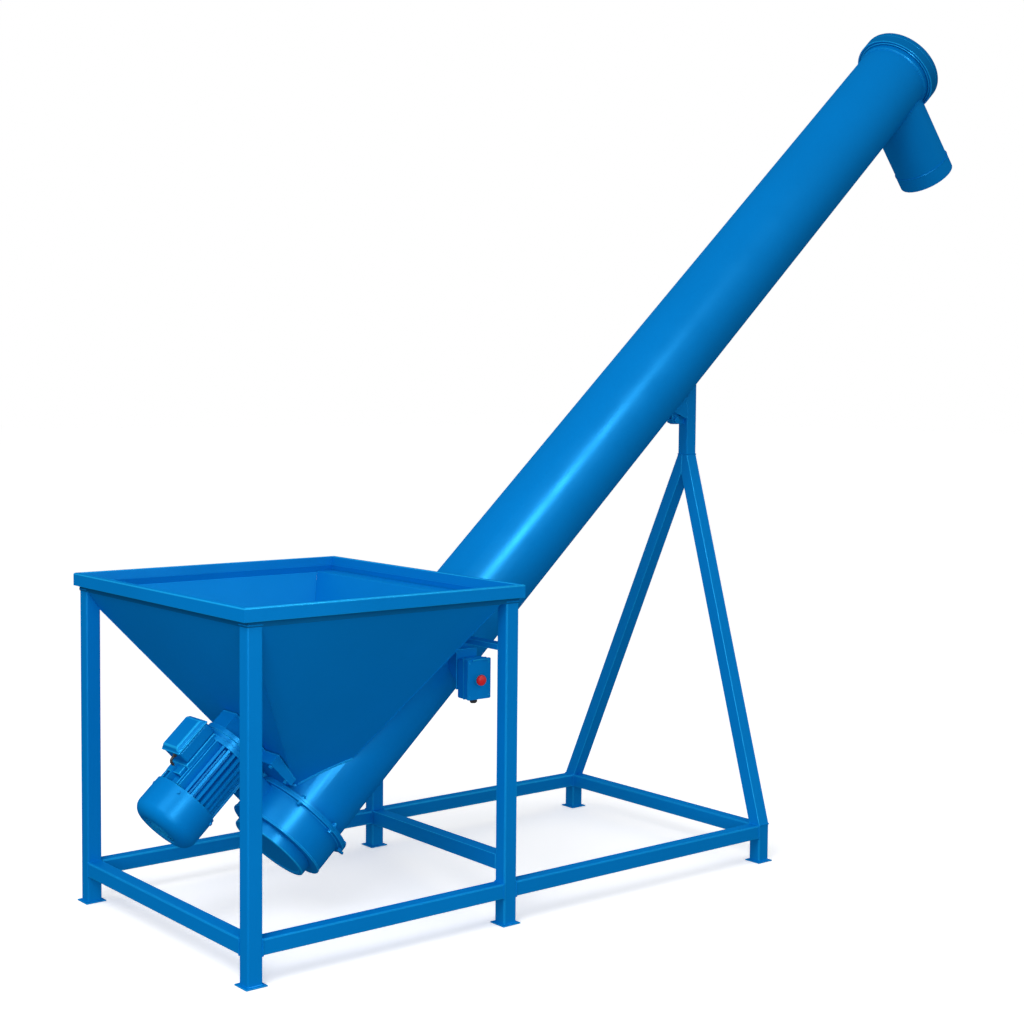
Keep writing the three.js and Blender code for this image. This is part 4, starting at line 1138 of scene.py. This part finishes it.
def stop_button():
    """Domed red push button with a moulded rim."""
    spot = button_spot()
    low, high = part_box("stop_button")
    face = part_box("control_box")[0].y - LID_DEPTH
    bm = bmesh.new()
    out = facing_near(Vector((spot.x, face, spot.z)))
    reach = (face - low.y) / MM
    rim = (high.x - low.x) / 2 / MM
    lathe(bm, [(0, -9, 0), (5.2, -9, 0.5), (5.2, 4.5, 0.6), (rim - 2, 4.6, 0.6), (rim, 7.0, 1.6),
               (rim, reach - 5.5, 2.2), (rim - 2.4, reach - 2.4, 1.6), (rim - 4, reach - 1.9, 1.0),
               (rim - 5, reach - 1.5, 0.8), (4.2, reach - 0.3, 2.0), (0, reach, 0)], out, 64, 4)
    piece("stop_button_domed", bm, RED, "stop_button", ("stop_button",))


# ---- studio
def light(name, spot, target, power, size, along=None):
    """Rectangular light aimed at a target; along is the direction of its first side."""
    data = bpy.data.lights.new(name, "AREA")
    data.energy = power
    data.shape = "RECTANGLE"
    data.size, data.size_y = size
    obj = add_object(name, data)
    back = (Vector(spot) - Vector(target)).normalized()
    level = Vector(along) if along else UP.cross(back)
    level = (level - back * level.dot(back)).normalized()
    obj.matrix_world = placed(Vector(spot), level, back.cross(level), back)
    obj.visible_camera = False
    return obj


def sky():
    """Soft box of light: bright overhead, dimmer below the horizon, plain white behind the object."""
    world = bpy.data.worlds.new("studio")
    bpy.context.scene.world = world
    tree = Tree(world)
    split = tree.add("ShaderNodeSeparateXYZ")
    tree.link(tree.add("ShaderNodeTexCoord").outputs["Generated"], split.inputs[0])
    height = tree.span(split.outputs[2], 0.0, 1.0, start=-1.0)
    greys = ((0.0, 0.18), (0.46, 0.32), (0.54, 0.58), (0.80, 0.68), (1.0, 0.56))
    lit = tree.add("ShaderNodeBackground")
    tree.link(tree.ramp(height, [(at, (grey,) * 3) for at, grey in greys]), lit.inputs[0])
    plain = tree.add("ShaderNodeBackground", Color=(1, 1, 1, 1))
    seen = tree.add("ShaderNodeLightPath").outputs["Is Camera Ray"]
    choice = tree.mix_shader(seen, lit.outputs[0], plain.outputs[0])
    tree.link(choice, tree.add("ShaderNodeOutputWorld").inputs[0])


def floor():
    """Pale floor a little below the feet. Its glow makes it white, and lights nothing."""
    mesh = bpy.data.meshes.new("floor")
    reach = 40
    corners = [((2 * u - 1) * reach, (2 * v - 1) * reach, -0.0004) for u, v in SQUARE]
    mesh.from_pydata(corners, [], [(0, 1, 2, 3)])
    shader = Shader("pale_floor")
    shader.set(Base_Color=(0.94, 0.94, 0.94, 1), Roughness=0.9, Specular_IOR_Level=0.0,
               Emission_Color=(1, 1, 1, 1), Emission_Strength=0.42)
    mesh.materials.append(shader.material)
    obj = add_object("floor", mesh)
    obj.visible_diffuse = False
    obj.visible_glossy = False


def studio():
    sky()
    floor()
    light("key", (-3.6, -1.7, 3.8), (-0.3, 0, 0.9), 84, (2.2, 2.2))
    strip = light("strip", (-1.0, -2.25, 2.15), (-0.9, 0, 0.5), 150, (2.3, 0.40), along=(1.46, 0.69, 0.83))
    strip.visible_diffuse = False
    light("fill", (-3.0, -3.3, 0.9), (-0.9, 0, 0.55), 44, (1.8, 1.4))
    settings = bpy.context.scene.view_settings
    settings.view_transform = "Standard"
    settings.look = "None"


# ---- camera
CAMERA_SPOT = Vector((-3.04436, -3.43044, 1.23195))
CAMERA_YAW = 40.9116         # degrees from +Y towards +X
CAMERA_PITCH = -3.4573
CAMERA_ROLL = 0.6667
CAMERA_LENS = 60.343         # on a 36 mm sensor
CAMERA_SHIFT = (-0.07854, -0.02059)


def camera():
    yaw, pitch, roll = (radians(a) for a in (CAMERA_YAW, CAMERA_PITCH, CAMERA_ROLL))
    ahead = Vector((sin(yaw) * cos(pitch), cos(yaw) * cos(pitch), sin(pitch)))
    level = Vector((cos(yaw), -sin(yaw), 0))
    above = level.cross(ahead)
    right = level * cos(roll) + above * sin(roll)
    up = above * cos(roll) - level * sin(roll)
    data = bpy.data.cameras.new("view")
    data.sensor_width = 36
    data.lens = CAMERA_LENS
    data.shift_x, data.shift_y = CAMERA_SHIFT
    data.clip_start, data.clip_end = 0.1, 200
    obj = add_object("view", data)
    obj.matrix_world = placed(CAMERA_SPOT, right, up, -ahead)
    bpy.context.scene.camera = obj


camera()
studio()
stand()
stand_welds()
hopper()
auger_tube()
top_end()
screw()
gear_drum()
drive_casing()
motor()
pivot_bolt()
control_box()
